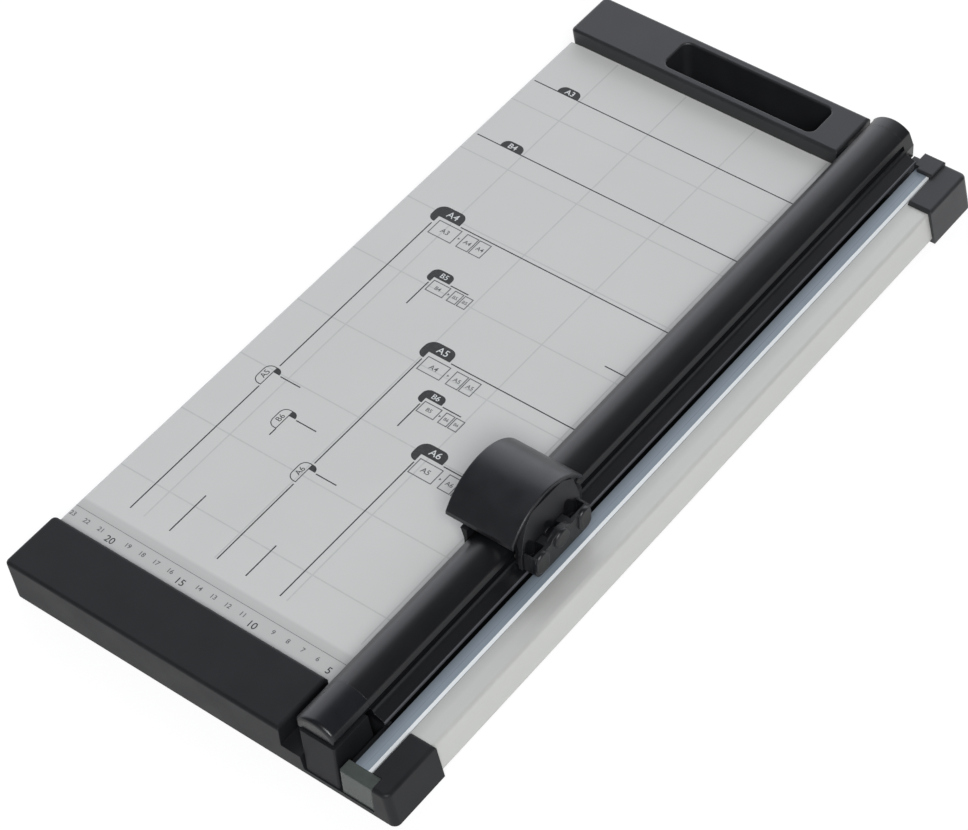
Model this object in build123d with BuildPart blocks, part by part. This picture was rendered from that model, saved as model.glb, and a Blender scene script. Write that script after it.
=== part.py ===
import math
import os

from build123d import *

os.makedirs("parts", exist_ok=True)

# Rotary paper trimmer. X runs across the table, Y along the rail, Z is up, sizes in millimetres.
# The origin is under the middle of the base, on the surface that it stands on.

# Base
base_width = 264.0
base_depth = 535.0
table_height = 22.0
foot_height = 1.0
near_bar_depth = 39.5
far_bar_depth = 35.5
near_bar_rise = 4.5
far_bar_rise = 10.5
cut_inset = 26.0
wall = 2.5
overrun = 1.0
slip = 0.2
press = 0.02
running = 0.05

# Places that the other pieces follow
left_x = -base_width / 2
right_x = base_width / 2
near_y = -base_depth / 2
far_y = base_depth / 2
stop_y = near_y + near_bar_depth
far_stop_y = far_y - far_bar_depth
cut_x = right_x - cut_inset

# End bars
bar_draft = 4.0
bar_edge_radius = 2.0
bar_corner_radius = 3.0
far_bar_inset = 2.0
near_bay_reach = 48.0
far_bay_reach = 44.5
bay_step_drop = 9.0
ledge_thickness = 3.0
cap_left_reach = 6.5
cap_rise = 1.5
cap_slope_run = 4.2
cap_edge_radius = 2.2
cap_corner_radius = 4.0
far_cap_run = 3.3
fill_gap = 0.6
near_fill_drop = 4.0
far_fill_drop = 3.0
notch_run = 5.7
notch_depth = 8.5
clamp_depth = 14.0
clamp_set_back = 0.5
clamp_rise = 3.5
clamp_reach = 6.4
clamp_overlap = 1.0
clamp_edge_radius = 0.8
clamp_notch_run = 3.4
clamp_notch_depth = 2.6
near_top = table_height + near_bar_rise
far_top = table_height + far_bar_rise
near_bay_x = cut_x - near_bay_reach
far_bay_x = cut_x - far_bay_reach
bay_step_z = table_height - bay_step_drop
ledge_top = foot_height + ledge_thickness
cap_left = cut_x + cap_left_reach
cap_top = table_height + cap_rise
cap_edge_x = right_x - cap_slope_run
clamp_left = cut_x - clamp_reach
clamp_far_y = far_y - clamp_set_back
clamp_near_y = clamp_far_y - clamp_depth

# Hand pocket in the far bar
pocket_width = 106.0
pocket_depth = 24.0
pocket_right_reach = 65.5
pocket_inset = 6.0
pocket_corner = 5.0
pocket_lip_radius = 1.2
pocket_x = cut_x - pocket_right_reach - pocket_width / 2
pocket_y = far_y - pocket_inset - pocket_depth / 2

# Feet
foot_diameter = 13.0
foot_recess = 1.2
foot_boss_diameter = 17.0
foot_inset_x = 25.0
foot_right_inset = 16.0
foot_far_inset = 11.0
foot_places = [
    (left_x + foot_inset_x, near_y + near_bar_depth / 2),
    (right_x - foot_right_inset, near_y + near_bar_depth / 2),
    (left_x + foot_inset_x, far_y - far_bar_depth / 2),
    (right_x - foot_right_inset, far_y - foot_far_inset),
]
boss_places = [foot_places[0], foot_places[2]]

# Table
table_thickness = 1.5
table_inset = 2.0
table_tab = 6.0
flange_drop = 14.0
table_bend_radius = 1.4
rib_width = 24.0
rib_height = 11.0
rib_sheet = 1.2
rib_count = 3
rib_end_gap = 1.5
table_tab_gap = 1.0
table_under = table_height - table_thickness
far_left = left_x + far_bar_inset
near_hollow = (left_x + bar_draft + wall, near_bay_x - wall)
far_hollow = (far_left + bar_draft + wall, far_bay_x - wall)
pocket_walls = (pocket_x - pocket_width / 2 - wall, pocket_x + pocket_width / 2 + wall)
near_tabs = [(near_hollow[0] + table_tab_gap, near_hollow[1] - table_tab_gap)]
far_tabs = [
    (far_hollow[0] + table_tab_gap, pocket_walls[0] - table_tab_gap),
    (pocket_walls[1] + table_tab_gap, far_hollow[1] - table_tab_gap),
]

# Mat and side extrusion
mat_width = 9.8
mat_depth = 3.0
mat_rise = 0.8
mat_bevel = 1.4
mat_tuck = 4.0
plate_drop = 0.7
plate_edge_reach = 20.0
plate_foot_reach = 23.8
plate_wall = 1.8
plate_bend_radius = 2.5
table_tuck = 3.0
shelf_run = 4.0
gap_depth = 9.0
groove_wall = 1.2
groove_wall_drop = 2.4
plate_near_insert = 30.0
plate_far_insert = 20.0
mat_left = cut_x - mat_width / 2
mat_right = cut_x + mat_width / 2
mat_top = table_height + mat_rise
mat_floor = mat_top - mat_depth
table_left = left_x + table_inset
groove_left = mat_left - slip
gap_right = groove_left - groove_wall
plate_top = table_height - plate_drop
plate_edge_x = cut_x + plate_edge_reach
plate_foot_x = cut_x + plate_foot_reach
stop_block_left_reach = 9.0
stop_block_rise = 0.6
stop_block_set_back = 0.6
stop_block_radius = 1.0

# Rail
paper_gap = 1.5
rail_rise = 18.5
rail_left_reach = 41.3
rail_crown_reach = 28.3
rail_arch_radius = 16.5
rail_brow_reach = 17.2
rail_root_reach = 14.0
rail_root_rise = 6.0
rail_lip_reach = 7.0
rail_lip_rise = 3.0
rail_shoulder_radius = 4.0
rail_brow_radius = 3.0
rail_root_radius = 2.5
rail_left_wall = 4.2
rail_right_wall = 2.8
cavity_rise = 13.5
left_groove_rise = 4.0
left_groove_height = 3.5
left_groove_depth = 1.6
right_groove_rise = 8.0
right_groove_height = 2.8
right_groove_depth = 2.4
near_cap_depth = 33.5
rail_near_run = 4.5
near_cap_radius = 2.5
near_cap_tenon = 12.0
far_cap_depth = 8.5
far_cap_drop = 3.0
rail_far_inset = 1.0
grip_width = 8.0
grip_thickness = 0.8
grip_inset = 1.0
grip_end_gap = 6.0
seam_rise = 8.0
rail_left = cut_x - rail_left_reach
rail_top = table_height + rail_rise
rail_bottom = table_height + paper_gap
brow_x = cut_x - rail_brow_reach
arch_x = cut_x - rail_crown_reach
arch_z = rail_top - rail_arch_radius
shoulder_z = arch_z + math.sqrt(rail_arch_radius ** 2 - (arch_x - rail_left) ** 2)
brow_z = arch_z + math.sqrt(rail_arch_radius ** 2 - (brow_x - arch_x) ** 2)
root_x = cut_x - rail_root_reach
root_z = table_height + rail_root_rise
lip_x = cut_x - rail_lip_reach
lip_z = table_height + rail_lip_rise
table_right = lip_x - table_tuck
shelf_left = table_right - shelf_run
cavity_left = rail_left + rail_left_wall
cavity_right = brow_x - rail_right_wall
cavity_top = table_height + cavity_rise
seam_z = table_height + seam_rise
rail_end_y = far_y - rail_far_inset
beam_far_y = rail_end_y - far_cap_depth
beam_near_y = stop_y - rail_near_run
cap_near_y = stop_y - near_cap_depth

# Rail post and rail hinge
post_left_reach = 38.0
post_right_reach = 14.5
post_front_inset = 4.5
post_depth = 26.5
post_taper = 5.0
post_lean = 4.0
post_toe = 3.9
post_radius = 1.5
pad_width = 14.0
pad_depth = 12.0
pad_recess = 1.0
seam_gap = 0.4
pad_gap = 0.1
hinge_inset = 18.5
hinge_rise = 8.0
hinge_radius = 5.0
pin_diameter = 5.0
bush_diameter = 7.0
tongue_width = 7.0
tongue_gap = 0.3
bracket_sheet = 2.6
bracket_foot_width = 17.0
bracket_foot_depth = 20.0
bracket_foot_height = 2.5
pin_overhang = 0.6
post_left = cut_x - post_left_reach
post_right = cut_x - post_right_reach
post_near_y = near_y + post_front_inset
post_top = seam_z - seam_gap
post_slope = post_taper / (post_top - ledge_top)
hinge_y = rail_end_y - hinge_inset
hinge_z = table_height + hinge_rise
hinge_x = (cavity_left + cavity_right) / 2

# Fasteners
screw_diameter = 3.0
screw_head_diameter = 5.6
screw_head_height = 1.5
screw_length = 9.0
small_screw_diameter = 2.4
small_head_diameter = 4.2
small_head_height = 1.2
small_screw_length = 12.0
cap_screw_rise = 11.6
left_cap_screw_inset = 2.1
right_cap_screw_inset = 1.4

# Carriage
carriage_place = 140.2
carriage_length = 60.5
saddle_gap = 0.6
saddle_roof = 2.0
saddle_left_run = 5.5
saddle_skirt_run = 2.8
saddle_skirt_rise = 11.0
saddle_left_rise = 2.5
saddle_right_rise = 7.0
saddle_right_wall = 3.2
saddle_radius = 1.2
saddle_slope = 2.2
saddle_end_gap = 0.95
saddle_toe_reach = 1.0
saddle_toe_drop = 2.5
pad_length = 10.0
pad_spread = 40.0
pad_play = 0.4
carriage_y = stop_y + carriage_place
saddle_inner_left = rail_left - saddle_gap
saddle_inner_right = root_x + saddle_gap
saddle_inner_top = rail_top + saddle_gap
saddle_top = saddle_inner_top + saddle_roof

# Head
dome_rise = 24.0
dome_crown = 16.3
dome_hem = 3.0
dome_left_reach = 56.4
dome_right_reach = 12.0
dome_wall = 2.5
dome_rim = 2.4
dome_recess = 1.5
dome_edge_radius = 0.8
guide_reach = 30.0
guide_spread = 32.0
guide_diameter = 5.0
guide_boss_diameter = 9.0
guide_boss_height = 2.4
guide_top_rise = 30.6
guide_headroom = 4.0
head_boss_diameter = 13.5
head_boss_rise = 27.6
dome_bottom = table_height + dome_rise
dome_top = dome_bottom + dome_crown
dome_half = carriage_length / 2
dome_radius = (dome_half ** 2 + dome_crown ** 2) / (2 * dome_crown)
dome_axis_z = dome_top - dome_radius
hem_bottom = dome_bottom - dome_hem
dome_left = cut_x - dome_left_reach
dome_right = cut_x - dome_right_reach
dome_inner_right = dome_right - dome_recess - dome_wall
guide_x = cut_x - guide_reach
guide_top = table_height + guide_top_rise
head_boss_z = table_height + head_boss_rise
guide_places = [(guide_x, carriage_y - guide_spread / 2), (guide_x, carriage_y + guide_spread / 2)]
saddle_half = dome_half - dome_wall - saddle_end_gap
saddle_toe_run = dome_half + saddle_toe_reach - saddle_half
saddle_toe_top = hem_bottom - saddle_toe_drop

# Springs round the guide pins
spring_wire = 1.0
spring_diameter = 11.0
spring_turns = 3
spring_steps = 2 * spring_turns
spring_seat = 0.1

# Cartridge and its holder
cartridge_shift = -5.2
cartridge_half = 23.5
holder_left_reach = 9.4
holder_thickness = 2.4
holder_rise = 8.5
holder_knee_rise = 21.0
holder_crown_rise = 35.0
holder_crown_run = 1.1
holder_back_rise = 25.0
holder_rim_gap = 0.4
holder_near_gap = 0.5
holder_far_reach = 20.8
hollow_margin = 1.2
hollow_depth = 1.4
hollow_rise = 12.0
case_gap = 0.4
case_split_reach = 1.2
cartridge_rise = 5.0
cartridge_top_rise = 21.0
cartridge_corner = 5.0
cover_face = 1.2
cover_skin = 0.7
blade_axis_rise = 13.0
blade_shift = -1.5
blade_diameter = 20.0
blade_thickness = 0.4
blade_bevel = 1.2
blade_room = 0.5
blade_room_wall = 1.0
hub_diameter = 6.0
hub_flange_diameter = 9.0
hub_gap = 0.1
hub_front_run = 0.3
axle_diameter = 3.0
axle_seat = 3.5
axle_front_run = 0.4
spigot_diameter = 9.0
spigot_rise = 14.5
lobe_rise = 15.0
lobe_height = 15.0
lobe_width = 10.5
lobe_stand = 1.8
lobe_radius = 1.6
lobe_spread = 36.4
middle_lobe_diameter = 12.0
middle_lobe_rise = 18.5
scoop_width = 12.0
near_scoop_width = 9.6
far_scoop_width = 12.4
scoop_end_wall = 1.2
scoop_depth = 9.0
middle_scoop_depth = 5.0
scoop_corner = 1.8
cover_screw_spread = 38.0
cover_screw_rise = 8.2
head_screw_spread = 24.0
head_screw_rise = 29.0
head_screw_reach = 1.6
holder_left = cut_x - holder_left_reach
holder_right = holder_left + holder_thickness
case_left = holder_right + case_gap
case_split = cut_x - case_split_reach
cartridge_y = carriage_y + cartridge_shift
cartridge_far_y = cartridge_y + cartridge_half
cartridge_near_y = cartridge_y - cartridge_half
cartridge_bottom = table_height + cartridge_rise
cartridge_top = table_height + cartridge_top_rise
cover_front = cut_x + cover_face
blade_y = cartridge_y + blade_shift
blade_z = table_height + blade_axis_rise
blade_room_radius = blade_diameter / 2 + blade_room
blade_shell_radius = blade_room_radius + blade_room_wall


def front_plane(y):
    return Plane.XZ.offset(-y)


def side_plane(x):
    return Plane.YZ.offset(x)


def level(z):
    return Plane.XY.offset(z)


def write(piece, name):
    piece.part.label = name
    export_step(piece.part, f"parts/{name}.step")


# Prism between two heights over a rectangle given by its sides
def slab(x0, x1, y0, y1, z0, z1, mode=Mode.ADD):
    with BuildSketch(level(z0)) as outline:
        with Locations(((x0 + x1) / 2, (y0 + y1) / 2)):
            Rectangle(x1 - x0, y1 - y0)
    extrude(outline.sketch, amount=z1 - z0, mode=mode)


# Closed outline in the XZ plane at a place along Y
def front_outline(y, points):
    with BuildSketch(front_plane(y)) as outline:
        with BuildLine():
            Polyline(*points, close=True)
        make_face()
    return outline.sketch


# Rail section with its arched top, and with or without the skirt on its right
def rail_section(y, bottom, skirted):
    points = [(brow_x, brow_z), (root_x, root_z)]
    if skirted:
        points += [(lip_x, lip_z), (lip_x, bottom)]
    else:
        points += [(root_x, bottom)]
    points += [(rail_left, bottom), (rail_left, shoulder_z)]
    with BuildSketch(front_plane(y)) as section:
        with BuildLine():
            Polyline(*points)
            ThreePointArc((rail_left, shoulder_z), (arch_x, rail_top), (brow_x, brow_z))
        make_face()
        fillet(section.vertices().sort_by_distance((rail_left, shoulder_z))[0], rail_shoulder_radius)
        fillet(section.vertices().sort_by_distance((brow_x, brow_z))[0], rail_brow_radius)
        if skirted:
            fillet(section.vertices().sort_by_distance((root_x, root_z))[0], rail_root_radius)
    return section.sketch


# Outline with straight sides and an arched top, in the YZ plane
def arched(x, half, bottom, shoulder, crown):
    with BuildSketch(side_plane(x)) as outline:
        with BuildLine():
            Line((carriage_y - half, shoulder), (carriage_y - half, bottom))
            Line((carriage_y - half, bottom), (carriage_y + half, bottom))
            Line((carriage_y + half, bottom), (carriage_y + half, shoulder))
            ThreePointArc((carriage_y + half, shoulder), (carriage_y, crown),
                          (carriage_y - half, shoulder))
        make_face()
    return outline.sketch


# Disc about the dome's axis, in the YZ plane
def dome_disc(x, radius):
    with BuildSketch(side_plane(x)) as outline:
        with Locations((carriage_y, dome_axis_z)):
            Circle(radius)
    return outline.sketch


# Long side of the cartridge with the round shell over the blade, in the YZ plane
def cartridge_outline(x, shelled):
    with BuildSketch(side_plane(x)) as outline:
        with Locations((cartridge_y, (cartridge_bottom + cartridge_top) / 2)):
            Rectangle(2 * cartridge_half, cartridge_top - cartridge_bottom)
        fillet(outline.vertices().sort_by(Axis.Y)[:2], cartridge_corner)
        if shelled:
            with Locations((blade_y, blade_z)):
                Circle(blade_shell_radius)
            with Locations((blade_y, cartridge_bottom - blade_shell_radius / 2)):
                Rectangle(2 * blade_shell_radius, blade_shell_radius, mode=Mode.SUBTRACT)
    return outline.sketch


# Round bar along X
def cross_bar(x0, x1, y, z, diameter, mode=Mode.ADD):
    with BuildSketch(side_plane(x0)) as outline:
        with Locations((y, z)):
            Circle(diameter / 2)
    extrude(outline.sketch, amount=x1 - x0, mode=mode)


# Upright round bar
def post_bar(x, y, z0, z1, diameter, mode=Mode.ADD):
    with BuildSketch(level(z0)) as outline:
        with Locations((x, y)):
            Circle(diameter / 2)
    extrude(outline.sketch, amount=z1 - z0, mode=mode)


# Slope of the cap's hollow follows the side extrusion with a slip fit
plate_envelope = [
    (cap_left - overrun, ledge_top),
    (cap_left - overrun, plate_top + slip),
    (plate_edge_x + slip, plate_top + slip),
    (plate_foot_x + slip, ledge_top),
]
post_screw_x = (post_left + post_right) / 2
post_screw_spread = post_depth / 2
post_mid_y = post_near_y + post_depth / 2
post_screw_places = [(post_screw_x, post_mid_y - post_screw_spread / 2),
                     (post_screw_x, post_mid_y + post_screw_spread / 2)]
bracket_screw_spread = bracket_foot_depth - screw_head_diameter
bracket_screw_places = [(hinge_x, hinge_y - bracket_screw_spread / 2),
                        (hinge_x, hinge_y + bracket_screw_spread / 2)]


# Holes in a ledge for screws that come up from below, with sunk heads
def ledge_holes(places):
    for x, y in places:
        post_bar(x, y, foot_height - overrun, ledge_top + overrun, screw_diameter + slip, Mode.SUBTRACT)
        post_bar(x, y, foot_height - overrun, foot_height + screw_head_height,
                 screw_head_diameter + slip, Mode.SUBTRACT)


def foot_sockets(places):
    for x, y in places:
        post_bar(x, y, foot_height - overrun, foot_height + foot_recess, foot_diameter + slip,
                 Mode.SUBTRACT)


# Near end moulding: bar, ledge under the rail and right cap in one piece
with BuildPart() as near_end_bar:
    profile = front_outline(stop_y, [
        (left_x, near_top),
        (near_bay_x, near_top),
        (near_bay_x, bay_step_z),
        (post_left + post_slope * (post_top - bay_step_z) - fill_gap, bay_step_z),
        (post_left + post_taper - fill_gap, ledge_top),
        (cap_left, ledge_top),
        (cap_left, cap_top),
        (cap_edge_x, cap_top),
        (right_x, foot_height),
        (left_x + bar_draft, foot_height),
    ])
    extrude(profile, amount=near_bar_depth)
    left_edges = near_end_bar.faces().sort_by(Axis.X)[0].edges().filter_by(Axis.Y, reverse=True)
    fillet(left_edges, bar_corner_radius)
    slope_edges = near_end_bar.faces().sort_by(Axis.X)[-1].edges().filter_by(Axis.Y, reverse=True)
    fillet(slope_edges.sort_by(Axis.Y)[0], cap_corner_radius)
    top_edges = near_end_bar.edges().filter_by_position(Axis.Z, near_top, near_top)
    fillet(top_edges.sort_by(Axis.Y)[:-1], bar_edge_radius)
    cap_edges = near_end_bar.edges().filter_by_position(Axis.Z, cap_top, cap_top)
    fillet(cap_edges.sort_by(Axis.X)[1:], cap_edge_radius)
    slab(near_hollow[0], near_hollow[1], near_y + wall, stop_y - wall,
         foot_height - overrun, near_top - wall, Mode.SUBTRACT)
    for tab_left, tab_right in near_tabs:
        slab(tab_left - slip, tab_right + slip, stop_y - wall - overrun, stop_y + overrun,
             table_under, table_height + slip, Mode.SUBTRACT)
    profile = front_outline(stop_y, plate_envelope)
    extrude(profile, amount=plate_near_insert + slip, mode=Mode.SUBTRACT)
    slab(cap_left - overrun, cap_left + notch_run, near_y - overrun, near_y + notch_depth,
         ledge_top, cap_top + overrun, Mode.SUBTRACT)
    slab(post_right + post_lean + fill_gap, gap_right - slip, near_y + notch_depth + slip, stop_y,
         ledge_top, table_height - near_fill_drop)
    slab(near_bay_x - wall, gap_right - slip, stop_y - wall, stop_y, ledge_top, table_height - slip)
    post_bar(*boss_places[0], foot_height, near_top - wall / 2, foot_boss_diameter)
    foot_sockets(foot_places[:2])
    ledge_holes(post_screw_places)
write(near_end_bar, "near_end_bar")

# Far end moulding: bar with the hand pocket, ledge, right cap and mat clamp in one piece
with BuildPart() as far_end_bar:
    profile = front_outline(far_y, [
        (far_left, far_top),
        (far_bay_x, far_top),
        (far_bay_x, ledge_top),
        (cap_left, ledge_top),
        (cap_left, cap_top),
        (cap_edge_x, cap_top),
        (right_x, foot_height),
        (far_left + bar_draft, foot_height),
    ])
    extrude(profile, amount=far_bar_depth)
    left_edges = far_end_bar.faces().sort_by(Axis.X)[0].edges().filter_by(Axis.Y, reverse=True)
    fillet(left_edges, bar_corner_radius)
    profile = front_outline(far_stop_y, [
        (cap_left, cap_top),
        (cap_edge_x, cap_top),
        (right_x, foot_height),
        (cap_left, foot_height),
    ])
    extrude(profile, amount=far_cap_run)
    slope_edges = far_end_bar.faces().sort_by(Axis.X)[-1].edges().filter_by(Axis.Y, reverse=True)
    fillet(slope_edges.sort_by(Axis.Y)[-1], cap_corner_radius)
    top_edges = far_end_bar.edges().filter_by_position(Axis.Z, far_top, far_top)
    fillet(top_edges, bar_edge_radius)
    cap_edges = far_end_bar.edges().filter_by_position(Axis.Z, cap_top, cap_top)
    fillet(cap_edges.sort_by(Axis.X)[1:], cap_edge_radius)
    for room_left, room_right in ((far_hollow[0], pocket_walls[0]), (pocket_walls[1], far_hollow[1])):
        slab(room_left, room_right, far_stop_y + wall, far_y - wall,
             foot_height - overrun, far_top - wall, Mode.SUBTRACT)
    with BuildSketch(level(foot_height + wall)):
        with Locations((pocket_x, pocket_y)):
            RectangleRounded(pocket_width, pocket_depth, pocket_corner)
    extrude(amount=far_top - foot_height, mode=Mode.SUBTRACT)
    rim = far_end_bar.edges().filter_by_position(Axis.Z, far_top, far_top)
    rim_box = rim.filter_by_position(Axis.Y, pocket_y - pocket_depth / 2, pocket_y + pocket_depth / 2)
    fillet(rim_box.filter_by_position(Axis.X, pocket_x - pocket_width / 2, pocket_x + pocket_width / 2),
           pocket_lip_radius)
    for tab_left, tab_right in far_tabs:
        slab(tab_left - slip, tab_right + slip, far_stop_y - overrun, far_stop_y + wall + overrun,
             table_under, table_height + slip, Mode.SUBTRACT)
    profile = front_outline(far_stop_y + plate_far_insert + slip, plate_envelope)
    extrude(profile, amount=plate_far_insert + far_cap_run + 2 * slip, mode=Mode.SUBTRACT)
    slab(clamp_left, cap_left + clamp_overlap, clamp_near_y, clamp_far_y, ledge_top,
         table_height + clamp_rise)
    clamp_edges = far_end_bar.edges().filter_by_position(Axis.Z, table_height + clamp_rise,
                                                         table_height + clamp_rise)
    fillet(clamp_edges, clamp_edge_radius)
    slab(mat_left - slip, mat_right + slip, clamp_near_y - overrun, clamp_near_y + mat_tuck + slip,
         mat_floor, mat_top + slip, Mode.SUBTRACT)
    slab(clamp_left - overrun, clamp_left + clamp_notch_run, clamp_near_y - overrun,
         clamp_near_y + clamp_notch_depth, table_height, table_height + clamp_rise + overrun, Mode.SUBTRACT)
    slab(root_x + fill_gap, clamp_left, far_stop_y, clamp_far_y, ledge_top, table_height - far_fill_drop)
    post_bar(*boss_places[1], foot_height, far_top - wall / 2, foot_boss_diameter)
    foot_sockets(foot_places[2:])
    ledge_holes(bracket_screw_places)
write(far_end_bar, "far_end_bar")

# Table sheet with its left flange
flange_bottom = table_height - flange_drop
with BuildPart() as table_plate:
    slab(table_left, table_right, stop_y, far_stop_y, table_under, table_height)
    slab(table_left, table_left + table_thickness, stop_y, far_stop_y, flange_bottom, table_under)
    bend = table_plate.edges().filter_by(Axis.Y).sort_by_distance((table_left, 0, table_height))[0]
    fillet(bend, table_bend_radius)
    for tab_left, tab_right in near_tabs:
        slab(tab_left, tab_right, stop_y - table_tab, stop_y, table_under, table_height)
    for tab_left, tab_right in far_tabs:
        slab(tab_left, tab_right, far_stop_y, far_stop_y + table_tab, table_under, table_height)
write(table_plate, "table_plate")

# Folded stiffeners under the table
rib_left = table_left + table_thickness + rib_end_gap
rib_right = shelf_left - rib_end_gap
rib_step = (far_stop_y - stop_y) / (rib_count + 1)
with BuildPart() as table_ribs:
    for index in range(rib_count):
        rib_y = stop_y + rib_step * (index + 1)
        slab(rib_left, rib_right, rib_y - rib_width / 2, rib_y + rib_width / 2,
             table_under - rib_height, table_under)
        slab(rib_left - overrun, rib_right + overrun, rib_y - rib_width / 2 + rib_sheet,
             rib_y + rib_width / 2 - rib_sheet,
             table_under - rib_height - overrun, table_under - rib_sheet, Mode.SUBTRACT)
write(table_ribs, "table_ribs")

# Side extrusion: shelf under the table, gap, groove for the mat, flat top and sloped side
ceiling = mat_floor - plate_wall
gap_floor = table_height - gap_depth
extrusion_near_y = stop_y - plate_near_insert
extrusion_far_y = far_stop_y + plate_far_insert
with BuildPart() as side_extrusion:
    profile = front_outline(extrusion_far_y, [
        (shelf_left, table_under),
        (table_right, table_under),
        (table_right, gap_floor),
        (gap_right, gap_floor),
        (gap_right, table_height - groove_wall_drop),
        (groove_left, table_height - groove_wall_drop),
        (groove_left, mat_floor),
        (mat_right + slip, mat_floor),
        (mat_right + slip, plate_top),
        (plate_edge_x, plate_top),
        (plate_foot_x, ledge_top),
        (plate_foot_x - plate_wall, ledge_top),
        (plate_edge_x - plate_wall, ceiling),
        (gap_right + plate_wall, ceiling),
        (gap_right + plate_wall, gap_floor - plate_wall),
        (shelf_left + plate_wall, gap_floor - plate_wall),
        (shelf_left + plate_wall, ledge_top),
        (shelf_left, ledge_top),
    ])
    extrude(profile, amount=extrusion_far_y - extrusion_near_y)
    bend = side_extrusion.edges().filter_by(Axis.Y).sort_by_distance((plate_edge_x, 0, plate_top))[0]
    fillet(bend, plate_bend_radius)
    bar_ends = (
        (extrusion_near_y - overrun, stop_y + slip),
        (far_stop_y - slip, extrusion_far_y + overrun),
    )
    for y0, y1 in bar_ends:
        slab(shelf_left - overrun, gap_right, y0, y1, ledge_top - overrun, table_height, Mode.SUBTRACT)
write(side_extrusion, "side_extrusion")

# Cutting mat with a bevel along its right edge
mat_near_y = near_y + notch_depth
mat_far_y = clamp_near_y + mat_tuck
with BuildPart() as cutting_mat:
    profile = front_outline(mat_far_y, [
        (mat_left, mat_floor),
        (mat_left, mat_top),
        (mat_right - mat_bevel, mat_top),
        (mat_right, mat_top - mat_bevel),
        (mat_right, mat_floor),
    ])
    extrude(profile, amount=mat_far_y - mat_near_y)
write(cutting_mat, "cutting_mat")

# Translucent block that closes the near end of the mat groove
stop_block_left = cut_x - stop_block_left_reach
with BuildPart() as mat_stop:
    slab(stop_block_left, cap_left + notch_run - slip, near_y + stop_block_set_back,
         near_y + notch_depth,
         ledge_top, table_height + stop_block_rise)
    fillet(mat_stop.edges().group_by(Axis.Y)[0].filter_by_position(Axis.Z, ledge_top + slip,
                                                                   cap_top), stop_block_radius)
write(mat_stop, "mat_stop")

# Post under the near end of the rail
with BuildPart() as rail_post:
    with BuildSketch(level(ledge_top)):
        with Locations((post_screw_x + (post_taper + post_lean) / 2, post_mid_y - post_toe / 2)):
            Rectangle(post_right + post_lean - post_left - post_taper, post_depth + post_toe)
    with BuildSketch(level(post_top)):
        with Locations((post_screw_x, post_mid_y)):
            Rectangle(post_right - post_left, post_depth)
    loft(ruled=True)
    fillet(rail_post.faces().sort_by(Axis.Y)[0].edges().filter_by(Axis.X, reverse=True), post_radius)
    slab(post_screw_x - pad_width / 2, post_screw_x + pad_width / 2, post_mid_y - pad_depth / 2,
         post_mid_y + pad_depth / 2,
         post_top - pad_recess, post_top + overrun, Mode.SUBTRACT)
    for x, y in post_screw_places:
        post_bar(x, y, ledge_top - overrun, ledge_top + screw_length, screw_diameter + 2 * press,
                 Mode.SUBTRACT)
write(rail_post, "rail_post")

with BuildPart() as rest_pad:
    slab(post_screw_x - pad_width / 2 + slip, post_screw_x + pad_width / 2 - slip,
         post_mid_y - pad_depth / 2 + slip, post_mid_y + pad_depth / 2 - slip,
         post_top - pad_recess, seam_z - pad_gap)
write(rest_pad, "rest_pad")


# Pan head screws that come up from below the ledge
def ledge_screws(places, reach):
    for x, y in places:
        post_bar(x, y, foot_height, foot_height + screw_head_height, screw_head_diameter)
        post_bar(x, y, foot_height + screw_head_height, reach, screw_diameter)


with BuildPart() as post_screws:
    ledge_screws(post_screw_places, ledge_top + screw_length - overrun)
write(post_screws, "post_screws")

# Hinge bracket with two ears, its pin and its screws
ear_gap = tongue_width / 2 + tongue_gap
bracket_top = ledge_top + bracket_foot_height
with BuildPart() as hinge_bracket:
    slab(hinge_x - bracket_foot_width / 2, hinge_x + bracket_foot_width / 2,
         hinge_y - bracket_foot_depth / 2, hinge_y + bracket_foot_depth / 2, ledge_top, bracket_top)
    for ear_left in (hinge_x - ear_gap - bracket_sheet, hinge_x + ear_gap):
        slab(ear_left, ear_left + bracket_sheet, hinge_y - hinge_radius, hinge_y + hinge_radius,
             bracket_top, hinge_z)
        cross_bar(ear_left, ear_left + bracket_sheet, hinge_y, hinge_z, 2 * hinge_radius)
    cross_bar(hinge_x - bracket_foot_width, hinge_x + bracket_foot_width, hinge_y, hinge_z,
              pin_diameter + 2 * press, Mode.SUBTRACT)
    for x, y in bracket_screw_places:
        post_bar(x, y, ledge_top - overrun, bracket_top + overrun, screw_diameter + 2 * press,
                 Mode.SUBTRACT)
write(hinge_bracket, "hinge_bracket")

pin_half = ear_gap + bracket_sheet + pin_overhang
with BuildPart() as hinge_pin:
    cross_bar(hinge_x - pin_half, hinge_x + pin_half, hinge_y, hinge_z, pin_diameter)
write(hinge_pin, "hinge_pin")

with BuildPart() as bracket_screws:
    ledge_screws(bracket_screw_places, bracket_top)
write(bracket_screws, "bracket_screws")

with BuildPart() as rubber_feet:
    for x, y in foot_places:
        post_bar(x, y, 0, foot_height + foot_recess, foot_diameter)
write(rubber_feet, "rubber_feet")

# Grooves in the rail's sides for the glide pads
left_groove_z = table_height + left_groove_rise
right_groove_z = table_height + right_groove_rise
left_groove_x = rail_left + left_groove_depth
right_groove_x = root_x - right_groove_depth


def right_groove(y0, y1):
    slab(right_groove_x, lip_x, y0 - overrun, y1 + overrun,
         right_groove_z, right_groove_z + right_groove_height, Mode.SUBTRACT)


cap_screw_z = table_height + cap_screw_rise
cap_screw_places = [(rail_left + left_cap_screw_inset, cap_screw_z),
                    (brow_x - right_cap_screw_inset, cap_screw_z)]


# Round hole or bar along Y, from one place to another
def long_bar(x, z, y0, y1, diameter, mode=Mode.ADD):
    with BuildSketch(front_plane(y1)) as outline:
        with Locations((x, z)):
            Circle(diameter / 2)
    extrude(outline.sketch, amount=y1 - y0, mode=mode)


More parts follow.
